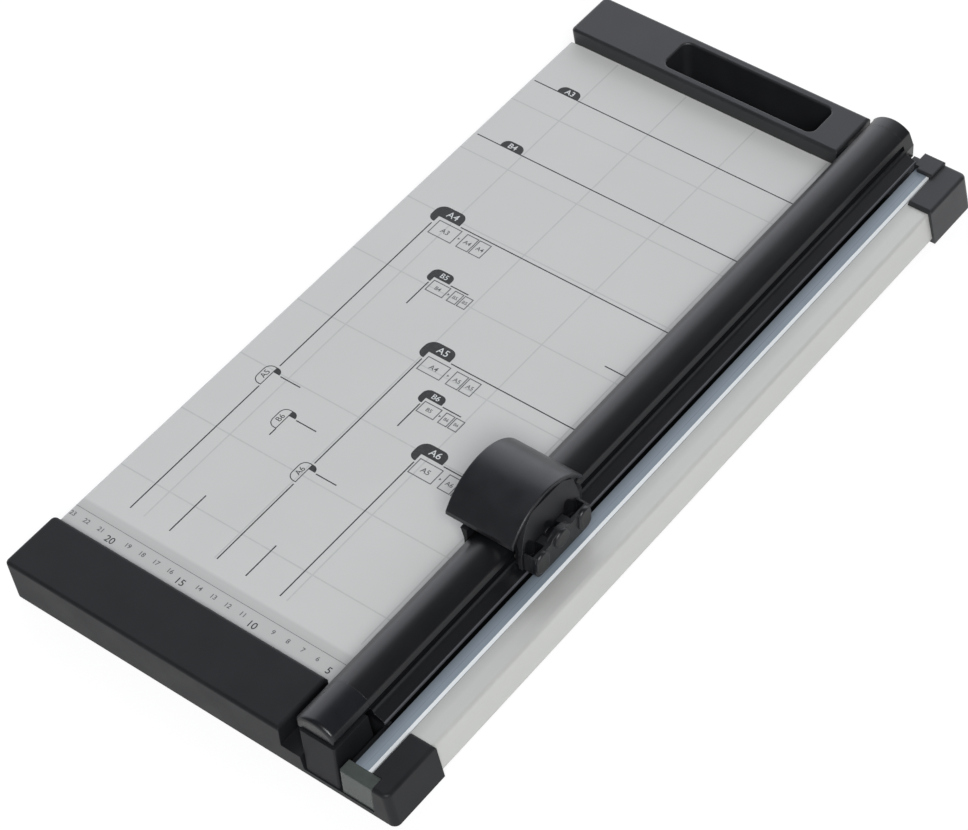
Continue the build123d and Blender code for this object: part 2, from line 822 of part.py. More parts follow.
# Hollow rail, open below
with BuildPart() as rail_beam:
    profile = rail_section(beam_far_y, rail_bottom, True)
    extrude(profile, amount=beam_far_y - beam_near_y)
    slab(cavity_left, cavity_right, beam_near_y - overrun, beam_far_y + overrun,
         rail_bottom - overrun, cavity_top, Mode.SUBTRACT)
    slab(rail_left - overrun, left_groove_x, beam_near_y - overrun, beam_far_y + overrun,
         left_groove_z, left_groove_z + left_groove_height, Mode.SUBTRACT)
    right_groove(beam_near_y, beam_far_y)
    for x, z in cap_screw_places:
        long_bar(x, z, beam_far_y - small_screw_length, beam_far_y + overrun,
                 small_screw_diameter + 2 * press, Mode.SUBTRACT)
write(rail_beam, "rail_beam")

# Near end of the rail, down to the seam above the post, with a tenon in the beam
with BuildPart() as near_rail_cap:
    profile = rail_section(beam_near_y, rail_bottom, False)
    extrude(profile, amount=beam_near_y - cap_near_y)
    slab(rail_left - overrun, lip_x, cap_near_y - overrun, beam_near_y + overrun,
         rail_bottom - overrun, seam_z, Mode.SUBTRACT)
    front = near_rail_cap.faces().sort_by(Axis.Y)[0]
    fillet(front.edges().filter_by_position(Axis.Z, seam_z + slip, rail_top), near_cap_radius)
    right_groove(cap_near_y, beam_near_y)
    slab(cavity_left + slip, cavity_right - slip, beam_near_y - overrun, beam_near_y + near_cap_tenon,
         seam_z, cavity_top - slip)
write(near_rail_cap, "near_rail_cap")

# Far end of the rail, with the tongue that turns on the hinge pin
far_cap_bottom = table_height - far_cap_drop
with BuildPart() as far_rail_cap:
    profile = rail_section(rail_end_y, far_cap_bottom, False)
    extrude(profile, amount=far_cap_depth)
    slab(hinge_x - tongue_width / 2, hinge_x + tongue_width / 2, hinge_y, beam_far_y + overrun,
         hinge_z - hinge_radius, hinge_z + hinge_radius)
    cross_bar(hinge_x - tongue_width / 2, hinge_x + tongue_width / 2, hinge_y, hinge_z,
              2 * hinge_radius)
    cross_bar(hinge_x - tongue_width, hinge_x + tongue_width, hinge_y, hinge_z,
              bush_diameter + 2 * press, Mode.SUBTRACT)
    for x, z in cap_screw_places:
        long_bar(x, z, beam_far_y - overrun, rail_end_y + overrun, small_screw_diameter + slip,
                 Mode.SUBTRACT)
        long_bar(x, z, rail_end_y - small_head_height, rail_end_y + overrun,
                 small_head_diameter + slip, Mode.SUBTRACT)
write(far_rail_cap, "far_rail_cap")

with BuildPart() as hinge_bush:
    cross_bar(hinge_x - tongue_width / 2, hinge_x + tongue_width / 2, hinge_y, hinge_z, bush_diameter)
    cross_bar(hinge_x - tongue_width, hinge_x + tongue_width, hinge_y, hinge_z,
              pin_diameter + 2 * running, Mode.SUBTRACT)
write(hinge_bush, "hinge_bush")

with BuildPart() as rail_cap_screws:
    for x, z in cap_screw_places:
        long_bar(x, z, rail_end_y - small_head_height, rail_end_y, small_head_diameter)
        long_bar(x, z, beam_far_y - small_screw_length + overrun, rail_end_y - small_head_height,
                 small_screw_diameter)
write(rail_cap_screws, "rail_cap_screws")

with BuildPart() as grip_strip:
    slab(lip_x - grip_inset - grip_width, lip_x - grip_inset, stop_y + grip_end_gap,
         beam_far_y - grip_end_gap,
         rail_bottom - grip_thickness, rail_bottom)
write(grip_strip, "grip_strip")

# Saddle that wraps the rail
saddle_far_y = carriage_y + saddle_half
saddle_right = saddle_inner_right + saddle_right_wall
saddle_skirt_x = rail_left - saddle_skirt_run
saddle_left_z = table_height + saddle_left_rise
saddle_right_z = table_height + saddle_right_rise
toe_share = (saddle_top - saddle_toe_top) / (saddle_top - table_height - saddle_skirt_rise)
saddle_toe_x = rail_left - saddle_left_run + toe_share * (saddle_left_run - saddle_skirt_run)
with BuildPart() as carriage_saddle:
    profile = front_outline(saddle_far_y, [
        (rail_left - saddle_left_run, saddle_top),
        (saddle_skirt_x, table_height + saddle_skirt_rise),
        (saddle_skirt_x, saddle_left_z),
        (saddle_inner_left, saddle_left_z),
        (saddle_inner_left, saddle_inner_top),
        (saddle_inner_right, saddle_inner_top),
        (saddle_inner_right, saddle_right_z),
        (saddle_right, saddle_right_z),
        (saddle_right, saddle_top - saddle_slope),
        (saddle_right - saddle_slope, saddle_top),
    ])
    extrude(profile, amount=2 * saddle_half)
    fillet(carriage_saddle.edges().filter_by_position(Axis.Z, saddle_top, saddle_top), saddle_radius)
    profile = front_outline(carriage_y - saddle_half, [
        (saddle_toe_x, saddle_toe_top),
        (saddle_skirt_x, table_height + saddle_skirt_rise),
        (saddle_skirt_x, saddle_left_z),
        (saddle_inner_left, saddle_left_z),
        (saddle_inner_left, saddle_toe_top),
    ])
    extrude(profile, amount=saddle_toe_run)
    for x, y in guide_places:
        post_bar(x, y, saddle_top, saddle_top + guide_boss_height, guide_boss_diameter)
        post_bar(x, y, saddle_inner_top, saddle_top + guide_boss_height + overrun,
                 guide_diameter + 2 * press, Mode.SUBTRACT)
write(carriage_saddle, "carriage_saddle")

# Pads on the inside of the saddle's legs, in the rail's grooves
with BuildPart() as glide_pads:
    for pad_y in (carriage_y - pad_spread / 2, carriage_y + pad_spread / 2):
        slab(saddle_inner_left, left_groove_x - pad_play, pad_y - pad_length / 2,
             pad_y + pad_length / 2,
             left_groove_z + pad_play, left_groove_z + left_groove_height - pad_play)
        slab(right_groove_x + pad_play, saddle_inner_right, pad_y - pad_length / 2,
             pad_y + pad_length / 2,
             right_groove_z + pad_play, right_groove_z + right_groove_height - pad_play)
write(glide_pads, "glide_pads")

with BuildPart() as guide_pins:
    for x, y in guide_places:
        post_bar(x, y, saddle_inner_top, guide_top, guide_diameter)
write(guide_pins, "guide_pins")


# Helix laid out as tangent arcs, two for each half turn
def spring_path(x, y, z0, z1):
    rise = z1 - z0
    radius = spring_diameter / 2
    turn = math.pi
    drop = rise / spring_steps

    def place(step):
        angle = turn * step
        return Vector(x + radius * math.cos(angle), y + radius * math.sin(angle), z0 + drop * step)

    def heading(step):
        angle = turn * step
        return Vector(-radius * turn * math.sin(angle), radius * turn * math.cos(angle),
                      drop).normalized()

    arcs = []
    for step in range(spring_steps):
        start, end = place(step), place(step + 1)
        begin, finish = heading(step), heading(step + 1)
        span = end - start
        both = begin + finish
        square = 2 * (1 - begin.dot(finish))
        reach = span.dot(both)
        arm = (math.sqrt(reach ** 2 + span.dot(span) * square) - reach) / square
        joint = (start + begin * arm + end - finish * arm) * (1 / 2)
        arcs.append(Edge.make_tangent_arc(start, begin, joint))
        arcs.append(Edge.make_tangent_arc(joint, (end - finish * arm - start - begin * arm), end))
    return Wire(arcs)


spring_low = saddle_top + spring_wire / 2 + spring_seat
spring_high = head_boss_z - spring_wire / 2 - spring_seat
with BuildPart() as press_springs:
    for x, y in guide_places:
        path = spring_path(x, y, spring_low, spring_high)
        with BuildSketch(Plane(origin=path @ 0, z_dir=path % 0)):
            Circle(spring_wire / 2)
        sweep(path=path)
write(press_springs, "press_springs")
spring_pitch = (spring_high - spring_low) / spring_turns
print("least gap between the spring's turns", round(spring_pitch - spring_wire, 2))

# Domed cover that the hand presses
inner_half = dome_half - dome_wall
with BuildPart() as head_cover:
    profile = arched(dome_left, dome_half, hem_bottom, dome_bottom, dome_top)
    extrude(profile, amount=dome_right - dome_left)
    sides = head_cover.faces().sort_by(Axis.X)
    arches = [side.edges().sort_by(Axis.Z)[-1] for side in (sides[0], sides[-1])]
    fillet(arches, dome_edge_radius)
    profile = arched(dome_left + dome_wall, inner_half, hem_bottom - overrun, dome_bottom,
                     dome_top - dome_wall)
    extrude(profile, amount=dome_inner_right - dome_left - dome_wall, mode=Mode.SUBTRACT)
    slab(dome_inner_right - overrun, dome_right + overrun, carriage_y - inner_half,
         carriage_y + inner_half,
         hem_bottom - overrun, dome_bottom, Mode.SUBTRACT)
    extrude(dome_disc(dome_right - dome_recess, dome_radius - dome_rim),
            amount=dome_recess + overrun, mode=Mode.SUBTRACT)
    for x, y in guide_places:
        with BuildSketch(level(head_boss_z)):
            with Locations((x, y)):
                Circle(head_boss_diameter / 2)
        extrude(until=Until.NEXT)
        post_bar(x, y, head_boss_z - overrun, guide_top + guide_headroom,
                 guide_diameter + 2 * running, Mode.SUBTRACT)
    for side in (-head_screw_spread / 2, head_screw_spread / 2):
        cross_bar(dome_inner_right - overrun, dome_right, carriage_y + side,
                  table_height + head_screw_rise,
                  small_screw_diameter + slip, Mode.SUBTRACT)
write(head_cover, "head_cover")

# Holder under the dome's rim, leaning out to the cartridge
holder_back = dome_right - dome_recess
holder_near_y = carriage_y - dome_half + holder_near_gap
holder_far_y = carriage_y + holder_far_reach
scoop_widths = [near_scoop_width, scoop_width, far_scoop_width]
scoop_places = [
    cartridge_near_y + scoop_end_wall + near_scoop_width / 2,
    blade_y,
    cartridge_far_y - scoop_end_wall - far_scoop_width / 2,
]
with BuildPart() as cartridge_holder:
    profile = front_outline(holder_far_y, [
        (holder_left, table_height + holder_rise),
        (holder_right, table_height + holder_rise),
        (holder_right, table_height + holder_knee_rise),
        (holder_back + holder_crown_run, table_height + holder_crown_rise),
        (holder_back, table_height + holder_crown_rise),
        (holder_back, table_height + holder_back_rise),
        (holder_left, table_height + holder_knee_rise),
    ])
    extrude(profile, amount=holder_far_y - holder_near_y)
    profile = dome_disc(holder_back, dome_radius - dome_rim - holder_rim_gap)
    extrude(profile, amount=holder_right - holder_back, mode=Mode.INTERSECT)
    for y, width in zip(scoop_places, scoop_widths):
        diameter = width + 2 * hollow_margin
        post_bar(holder_right - hollow_depth + diameter / 2, y, table_height + hollow_rise,
                 table_height + holder_crown_rise, diameter, Mode.SUBTRACT)
    cross_bar(holder_left - overrun, holder_right + overrun, cartridge_y, table_height + spigot_rise,
              spigot_diameter + 2 * slip, Mode.SUBTRACT)
    for side in (-head_screw_spread / 2, head_screw_spread / 2):
        cross_bar(holder_back - overrun, holder_back + head_screw_reach, carriage_y + side,
                  table_height + head_screw_rise,
                  small_screw_diameter + 2 * press, Mode.SUBTRACT)
write(cartridge_holder, "cartridge_holder")

with BuildPart() as head_screws:
    for side in (-head_screw_spread / 2, head_screw_spread / 2):
        cross_bar(dome_inner_right - small_head_height, dome_inner_right, carriage_y + side,
                  table_height + head_screw_rise, small_head_diameter)
        cross_bar(dome_inner_right, holder_back + head_screw_reach - slip, carriage_y + side,
                  table_height + head_screw_rise, small_screw_diameter)
write(head_screws, "head_screws")

# Left half of the cartridge, with the finger scoops and the spigot that sits in the holder
scoop_right = case_split - blade_room_wall
scoop_depths = [scoop_depth, middle_scoop_depth, scoop_depth]
scoop_rights = [case_split + scoop_corner, scoop_right, case_split + scoop_corner]
cover_screw_places = [cartridge_y - cover_screw_spread / 2, cartridge_y + cover_screw_spread / 2]
cover_screw_z = table_height + cover_screw_rise
with BuildPart() as cartridge_case:
    extrude(cartridge_outline(case_left, False), amount=case_split - case_left)
    extrude(cartridge_outline(scoop_right, True), amount=case_split - scoop_right)
    cross_bar(holder_left + slip, case_left, cartridge_y, table_height + spigot_rise, spigot_diameter)
    for y, width, depth, right in zip(scoop_places, scoop_widths, scoop_depths, scoop_rights):
        with BuildSketch(level(cartridge_top - depth)):
            with Locations(((case_left - overrun + right) / 2, y)):
                RectangleRounded(right - case_left + overrun, width, scoop_corner)
        extrude(amount=depth + overrun, mode=Mode.SUBTRACT)
    cross_bar(case_split - axle_seat, case_split + overrun, blade_y, blade_z,
              axle_diameter + 2 * press, Mode.SUBTRACT)
    for y in cover_screw_places:
        cross_bar(case_left - overrun, case_split + overrun, y, cover_screw_z,
                  small_screw_diameter + slip, Mode.SUBTRACT)
        cross_bar(case_left - overrun, case_left + small_head_height, y, cover_screw_z,
                  small_head_diameter + slip, Mode.SUBTRACT)
write(cartridge_case, "cartridge_case")

# Right half of the cartridge, with the room for the blade and the grip lobes
with BuildPart() as cartridge_cover:
    extrude(cartridge_outline(case_split, True), amount=cover_front - case_split)
    with BuildSketch(side_plane(cover_front - cover_skin)):
        for y in (cartridge_y - lobe_spread / 2, cartridge_y + lobe_spread / 2):
            with Locations((y, table_height + lobe_rise)):
                SlotOverall(lobe_height, lobe_width, rotation=90)
        with Locations((blade_y, table_height + middle_lobe_rise)):
            Circle(middle_lobe_diameter / 2)
    extrude(amount=lobe_stand + cover_skin)
    fillet(cartridge_cover.faces().filter_by(Axis.X).group_by(Axis.X)[-1].edges(), lobe_radius)
    cross_bar(case_split - overrun, cover_front - cover_skin, blade_y, blade_z,
              2 * blade_room_radius, Mode.SUBTRACT)
    slab(case_split - overrun, cover_front - cover_skin, blade_y - blade_room_radius,
         blade_y + blade_room_radius,
         cartridge_bottom - overrun, blade_z, Mode.SUBTRACT)
    for y in cover_screw_places:
        cross_bar(case_split - overrun, cover_front - cover_skin, y, cover_screw_z,
                  small_screw_diameter + 2 * press, Mode.SUBTRACT)
write(cartridge_cover, "cartridge_cover")

with BuildPart() as cover_screws:
    for y in cover_screw_places:
        cross_bar(case_left, case_left + small_head_height, y, cover_screw_z, small_head_diameter)
        cross_bar(case_left + small_head_height, cover_front - cover_skin - slip, y, cover_screw_z,
                  small_screw_diameter)
write(cover_screws, "cover_screws")

with BuildPart() as blade_axle:
    cross_bar(case_split - axle_seat, cut_x + axle_front_run, blade_y, blade_z, axle_diameter)
write(blade_axle, "blade_axle")

# Blade with a bevelled edge
blade_radius = blade_diameter / 2
with BuildPart() as blade:
    with BuildSketch(front_plane(blade_y)):
        with BuildLine():
            Polyline(
                (cut_x - blade_thickness / 2, blade_z),
                (cut_x - blade_thickness / 2, blade_z + blade_radius - blade_bevel),
                (cut_x, blade_z + blade_radius),
                (cut_x + blade_thickness / 2, blade_z + blade_radius - blade_bevel),
                (cut_x + blade_thickness / 2, blade_z),
                close=True,
            )
        make_face()
    revolve(axis=Axis((0, blade_y, blade_z), (1, 0, 0)))
    cross_bar(cut_x - overrun, cut_x + overrun, blade_y, blade_z, hub_diameter + 2 * press,
              Mode.SUBTRACT)
write(blade, "blade")

with BuildPart() as blade_hub:
    cross_bar(case_split + hub_gap, cut_x - blade_thickness / 2, blade_y, blade_z, hub_flange_diameter)
    cross_bar(cut_x - blade_thickness / 2, cut_x + hub_front_run, blade_y, blade_z, hub_diameter)
    cross_bar(case_split, cut_x + overrun, blade_y, blade_z, axle_diameter + 2 * running, Mode.SUBTRACT)
write(blade_hub, "blade_hub")
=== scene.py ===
import math

import bmesh
import bpy
from mathutils import Matrix, Vector


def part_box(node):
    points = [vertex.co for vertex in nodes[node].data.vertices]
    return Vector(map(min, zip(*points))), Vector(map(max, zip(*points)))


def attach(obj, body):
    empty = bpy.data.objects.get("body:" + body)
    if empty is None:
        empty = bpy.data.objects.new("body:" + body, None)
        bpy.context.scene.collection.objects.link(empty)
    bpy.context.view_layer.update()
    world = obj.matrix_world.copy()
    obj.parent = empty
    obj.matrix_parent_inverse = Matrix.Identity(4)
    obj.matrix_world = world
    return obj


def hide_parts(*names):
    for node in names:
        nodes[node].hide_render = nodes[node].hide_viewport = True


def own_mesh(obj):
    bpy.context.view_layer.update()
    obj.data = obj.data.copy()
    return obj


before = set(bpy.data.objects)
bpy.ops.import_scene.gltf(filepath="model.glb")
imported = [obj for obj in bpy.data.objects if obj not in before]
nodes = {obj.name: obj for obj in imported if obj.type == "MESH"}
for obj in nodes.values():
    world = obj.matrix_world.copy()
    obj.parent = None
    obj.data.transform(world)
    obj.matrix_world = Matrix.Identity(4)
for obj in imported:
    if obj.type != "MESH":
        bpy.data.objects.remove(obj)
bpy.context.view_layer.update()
scene = bpy.context.scene
scene.view_settings.view_transform = "Standard"
mm = 0.001
skyward = Vector((0, 0, 1))

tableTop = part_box("table_plate")[1].z
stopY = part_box("near_end_bar")[1].y  # paper lies against this line
matLow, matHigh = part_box("cutting_mat")
cutX = (matLow.x + matHigh.x) / 2  # the blade runs over this line
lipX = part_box("rail_beam")[1].x  # the rail's skirt ends here, beside the mat
print("frame loaded", len(nodes), "nodes")


# camera, turned as the photo was taken

viewer = {"azimuth": 41.22, "elevation": 48.20, "roll": -4.81, "lens": 122.8,
          "sensor": 36, "sight": 30, "place": (0.8015, -0.9394, 1.3629)}


def placeCamera(look):
    az, el, roll = (math.radians(look[key]) for key in ("azimuth", "elevation", "roll"))
    back = Vector((math.sin(az) * math.cos(el), -math.cos(az) * math.cos(el), math.sin(el)))
    level = skyward.cross(back).normalized()
    upright = back.cross(level)
    right = math.cos(roll) * level + math.sin(roll) * upright
    up = math.cos(roll) * upright - math.sin(roll) * level
    data = bpy.data.cameras.new("viewer")
    data.sensor_fit = "HORIZONTAL"
    data.sensor_width = look["sensor"]
    data.lens = look["lens"]
    data.clip_end = look["sight"]
    camera = bpy.data.objects.new("viewer", data)
    turn = Matrix((right, up, back)).transposed().to_4x4()
    camera.matrix_world = Matrix.Translation(look["place"]) @ turn
    scene.collection.objects.link(camera)
    scene.camera = camera


placeCamera(viewer)
print("camera placed")


# colours and node helpers

def onScreen(red, green, blue):  # a colour as it is read on a screen
    def straight(value):
        value /= 255
        return value / 12.92 if value <= 0.04045 else ((value + 0.055) / 1.055) ** 2.4
    return (straight(red), straight(green), straight(blue), 1)


def scaled(colour, share):
    return tuple(channel * share for channel in colour[:3]) + (1,)


def addNode(tree, kind, **settings):
    node = tree.nodes.new(kind)
    for key, value in settings.items():
        setattr(node, key, value)
    return node


def join(tree, source, target):
    tree.links.new(source, target)


def newFinish(name):
    finish = bpy.data.materials.new(name)
    finish.use_nodes = True
    tree = finish.node_tree
    return finish, tree, tree.nodes["Principled BSDF"]


def placeOf(tree, stretch=None):  # place on the piece, in metres
    coord = addNode(tree, "ShaderNodeTexCoord")
    if stretch is None:
        return coord.outputs["Object"]
    mapping = addNode(tree, "ShaderNodeMapping")
    mapping.inputs["Scale"].default_value = stretch
    join(tree, coord.outputs["Object"], mapping.inputs["Vector"])
    return mapping.outputs["Vector"]


def axes(tree, vector):  # a place or a direction, split into X, Y and Z
    split = addNode(tree, "ShaderNodeSeparateXYZ")
    join(tree, vector, split.inputs["Vector"])
    return split.outputs


def cloud(tree, place, size, detail, rough=0.55):  # noise with blobs of a size in mm
    noise = addNode(tree, "ShaderNodeTexNoise")
    noise.inputs["Scale"].default_value = 1 / (size * mm)
    noise.inputs["Detail"].default_value = detail
    noise.inputs["Roughness"].default_value = rough
    join(tree, place, noise.inputs["Vector"])
    return noise.outputs["Fac"]


def spread(tree, value, low, high, fromLow=0.3, fromHigh=0.7):  # most noise is in 0.3 to 0.7
    ranger = addNode(tree, "ShaderNodeMapRange")
    ranger.inputs["From Min"].default_value = fromLow
    ranger.inputs["From Max"].default_value = fromHigh
    ranger.inputs["To Min"].default_value = low
    ranger.inputs["To Max"].default_value = high
    join(tree, value, ranger.inputs["Value"])
    return ranger.outputs["Result"]


def combine(tree, first, second, kind="MULTIPLY"):
    node = addNode(tree, "ShaderNodeMath", operation=kind)
    for socket, value in zip(node.inputs, (first, second)):
        if isinstance(value, (int, float)):
            socket.default_value = value
        else:
            join(tree, value, socket)
    return node.outputs["Value"]


def blendColour(tree, share, first, second):
    mix = addNode(tree, "ShaderNodeMix", data_type="RGBA")
    join(tree, share, mix.inputs["Factor"])
    for index, value in ((6, first), (7, second)):  # the node's colour sockets
        if isinstance(value, tuple):
            mix.inputs[index].default_value = value
        else:
            join(tree, value, mix.inputs[index])
    return mix.outputs[2]


def mottled(tree, share, look):  # the colour, a little darker and lighter in places
    darker = scaled(look["colour"], 1 - look["shade"])
    lighter = scaled(look["colour"], 1 + look["shade"])
    return blendColour(tree, share, darker, lighter)


edgeTurn = (0.9, 0.995)  # the rounded normal against the face: full wear, no wear


def softEdge(tree, radius):  # rounded normal, and a mask that is 1 along edges
    bevel = addNode(tree, "ShaderNodeBevel", samples=6)
    bevel.inputs["Radius"].default_value = radius * mm
    face = addNode(tree, "ShaderNodeNewGeometry")
    dot = addNode(tree, "ShaderNodeVectorMath", operation="DOT_PRODUCT")
    join(tree, bevel.outputs["Normal"], dot.inputs[0])
    join(tree, face.outputs["Normal"], dot.inputs[1])
    return bevel.outputs["Normal"], spread(tree, dot.outputs["Value"], 1, 0, *edgeTurn)


def bump(tree, height, depth, normal=None):  # depth in mm
    node = addNode(tree, "ShaderNodeBump")
    node.inputs["Strength"].default_value = 1
    node.inputs["Distance"].default_value = depth * mm
    join(tree, height, node.inputs["Height"])
    if normal is not None:
        join(tree, normal, node.inputs["Normal"])
    return node.outputs["Normal"]


def coat(tree, shader, colour, rough, normal, gloss):
    join(tree, colour, shader.inputs["Base Color"])
    join(tree, rough, shader.inputs["Roughness"])
    join(tree, normal, shader.inputs["Normal"])
    shader.inputs["Specular IOR Level"].default_value = gloss


# finishes shared by several pieces: grain, line, mottle, depth and edge are in mm,
# shade, wear and gloss are shares

mouldedScuff, drawnScuff = 6, 5  # scuffs are this much finer than the mottle
lineShare = 0.6  # the drawn lines' part of the colour, the mottle has the rest
lineRough = 0.6


def mouldedFinish(name, look):  # moulded plastic or rubber with a fine grain and worn edges
    finish, tree, shader = newFinish(name)
    place = placeOf(tree)
    fine = cloud(tree, place, look["grain"], detail=2)
    broad = cloud(tree, place, look["mottle"], detail=4)
    patches = cloud(tree, place, look["mottle"] / mouldedScuff, detail=5)
    normal, edge = softEdge(tree, look["edge"])
    body = mottled(tree, spread(tree, broad, 0, 1), look)
    scuff = combine(tree, edge, spread(tree, patches, 0, look["wear"]))
    coat(tree, shader, blendColour(tree, scuff, body, look["worn"]),
         spread(tree, broad, *look["rough"]),
         bump(tree, fine, look["depth"], normal), look["gloss"])
    return finish


def drawnFinish(name, look):  # fine lines drawn one way, on metal and on the satin rail
    finish, tree, shader = newFinish(name)
    place = placeOf(tree)
    lines = cloud(tree, placeOf(tree, look["drawn"]), look["line"], detail=3, rough=lineRough)
    broad = cloud(tree, place, look["mottle"], detail=4)
    patches = cloud(tree, place, look["mottle"] / drawnScuff, detail=5)
    normal, edge = softEdge(tree, look["edge"])
    both = combine(tree, spread(tree, lines, 0, lineShare),
                   spread(tree, broad, 0, 1 - lineShare), "ADD")
    body = mottled(tree, both, look)
    # painted light and shade: each band lightens or darkens the colour from one X to another
    for band in look.get("paintedBands", []):  # a shade that grows from one X to another
        share = spread(tree, axes(tree, place)["X"], 0, band["share"], band["none"], band["full"])
        body = blendColour(tree, share, body, band["colour"])
    scuff = combine(tree, edge, spread(tree, patches, 0, look["wear"]))
    coat(tree, shader, blendColour(tree, scuff, body, look["worn"]),
         spread(tree, both, *look["rough"], 0, 1),
         bump(tree, lines, look["depth"], normal), look["gloss"])
    shader.inputs["Metallic"].default_value = look["metal"]
    return finish


def dress(finish, *names):
    for name in names:
        piece = nodes[name]
        if not piece.material_slots:
            piece.data.materials.append(finish)
        for slot in piece.material_slots:
            slot.material = finish


# black mouldings at both ends and the post under the rail

barLook = {"colour": onScreen(28, 29, 31), "worn": onScreen(62, 63, 67), "grain": 0.45,
           "depth": 0.01, "mottle": 22, "shade": 0.12, "rough": (0.42, 0.52), "edge": 0.5,
           "wear": 0.3, "gloss": 0.2}
dress(mouldedFinish("barPlastic", barLook), "near_end_bar", "rail_post")

# painted sheen: the far bar is the bar plastic painted lighter, as if it catches more light, and it
# is also glossier
farSheenLook = dict(barLook, colour=onScreen(33, 34, 36), rough=(0.36, 0.46), gloss=0.5)
dress(mouldedFinish("farBarPlasticPaintedSheen", farSheenLook), "far_end_bar")

# rail end, sliding carriage and its cartridge

capLook = {"colour": onScreen(22, 23, 26), "worn": onScreen(58, 59, 63), "grain": 0.3,
           "depth": 0.005, "mottle": 16, "shade": 0.1, "rough": (0.24, 0.35), "edge": 0.25,
           "wear": 0.1, "gloss": 0.4}
dress(mouldedFinish("railCapPlastic", capLook), "near_rail_cap")

domeLook = {"colour": onScreen(25, 26, 29), "worn": onScreen(72, 73, 77), "grain": 0.5,
            "depth": 0.014, "mottle": 14, "shade": 0.1, "rough": (0.32, 0.42), "edge": 0.7,
            "wear": 0.6, "gloss": 0.5}
dress(mouldedFinish("domePlastic", domeLook), "head_cover")

holderLook = {"colour": onScreen(22, 23, 26), "worn": onScreen(60, 61, 65), "grain": 0.35,
              "depth": 0.008, "mottle": 12, "shade": 0.1, "rough": (0.4, 0.5), "edge": 0.4,
              "wear": 0.4, "gloss": 0.42}
dress(mouldedFinish("holderPlastic", holderLook), "cartridge_holder")

cartridgeLook = {"colour": onScreen(18, 19, 22), "worn": onScreen(62, 63, 67), "grain": 0.3,
                 "depth": 0.007, "mottle": 9, "shade": 0.12, "rough": (0.34, 0.46), "edge": 0.4,
                 "wear": 0.5, "gloss": 0.45}
dress(mouldedFinish("cartridgePlastic", cartridgeLook), "cartridge_case", "cartridge_cover")

saddleLook = {"colour": onScreen(18, 19, 21), "worn": onScreen(52, 53, 55), "grain": 0.35,
              "depth": 0.01, "mottle": 12, "shade": 0.1, "rough": (0.45, 0.58), "edge": 0.4,
              "wear": 0.4, "gloss": 0.4}
dress(mouldedFinish("saddlePlastic", saddleLook), "carriage_saddle")

# rubber, bushes and glide pads

rubberLook = {"colour": onScreen(24, 24, 25), "worn": onScreen(58, 57, 55), "grain": 0.6,
              "depth": 0.03, "mottle": 8, "shade": 0.18, "rough": (0.72, 0.9), "edge": 0.4,
              "wear": 0.5, "gloss": 0.3}
dress(mouldedFinish("blackRubber", rubberLook), "rest_pad", "rubber_feet", "grip_strip")

bushLook = {"colour": onScreen(214, 211, 200), "worn": onScreen(190, 184, 170), "grain": 0.4,
            "depth": 0.006, "mottle": 7, "shade": 0.04, "rough": (0.32, 0.46), "edge": 0.3,
            "wear": 0.5, "gloss": 0.5}
dress(mouldedFinish("bushPlastic", bushLook), "hinge_bush", "blade_hub")

padLook = {"colour": onScreen(52, 52, 53), "worn": onScreen(84, 84, 83), "grain": 0.4,
           "depth": 0.008, "mottle": 6, "shade": 0.08, "rough": (0.4, 0.55), "edge": 0.3,
           "wear": 0.6, "gloss": 0.35}
dress(mouldedFinish("padPlastic", padLook), "glide_pads")
print("plastics done")


# drawn rail and aluminium side

# painted highlight: a lighter band along the rail skirt's edge
railLipHighlight = {"none": lipX - 0.8 * mm, "full": lipX - 0.4 * mm, "colour": onScreen(92, 93, 97),
           "share": 0.8}  # light along the skirt's edge
railLook = {"colour": onScreen(13, 14, 16), "worn": onScreen(76, 77, 81), "drawn": (1, 0.02, 1),
            "line": 0.25, "depth": 0.004, "mottle": 30, "shade": 0.14, "rough": (0.27, 0.36),
            "edge": 0.25, "wear": 0.12, "metal": 0.0, "gloss": 0.5, "paintedBands": [railLipHighlight]}
dress(drawnFinish("railSatin", railLook), "rail_beam", "far_rail_cap")

# painted shade: the aluminium is darkened beside the mat
matSideShade = {"none": matHigh.x + 7 * mm, "full": matHigh.x, "colour": onScreen(174, 175, 172),
           "share": 0.8}  # painted shade beside the mat
# painted shade: the aluminium in the narrow slot by the rail is painted near black
matSlotShade = {"none": matLow.x, "full": matLow.x - 0.4 * mm, "colour": onScreen(24, 25, 27),
           "share": 1.0}  # painted shade in the slot between the mat and the rail
sideLook = {"colour": onScreen(198, 199, 195), "worn": onScreen(210, 211, 209),
            "drawn": (1, 0.012, 1), "line": 0.22, "depth": 0.004, "mottle": 40, "shade": 0.035,
            "rough": (0.42, 0.54), "edge": 0.8, "wear": 0.5, "metal": 0.35, "gloss": 0.4,
            "paintedBands": [matSideShade, matSlotShade]}
dress(drawnFinish("sideAluminium", sideLook), "side_extrusion")

# steel pieces

sheetLook = {"colour": onScreen(168, 172, 176), "worn": onScreen(200, 202, 204),
             "drawn": (1, 0.2, 1), "line": 1.6, "depth": 0.01, "mottle": 12, "shade": 0.12,
             "rough": (0.32, 0.55), "edge": 0.3, "wear": 0.5, "metal": 1.0, "gloss": 0.5}
dress(drawnFinish("zincSheet", sheetLook), "table_ribs", "hinge_bracket")

screwLook = {"colour": onScreen(150, 152, 155), "worn": onScreen(205, 206, 208),
             "drawn": (1, 1, 0.2), "line": 0.4, "depth": 0.004, "mottle": 2.5, "shade": 0.14,
             "rough": (0.26, 0.44), "edge": 0.25, "wear": 0.7, "metal": 1.0, "gloss": 0.5}
dress(drawnFinish("screwSteel", screwLook), "post_screws", "bracket_screws", "rail_cap_screws",
      "head_screws", "cover_screws")

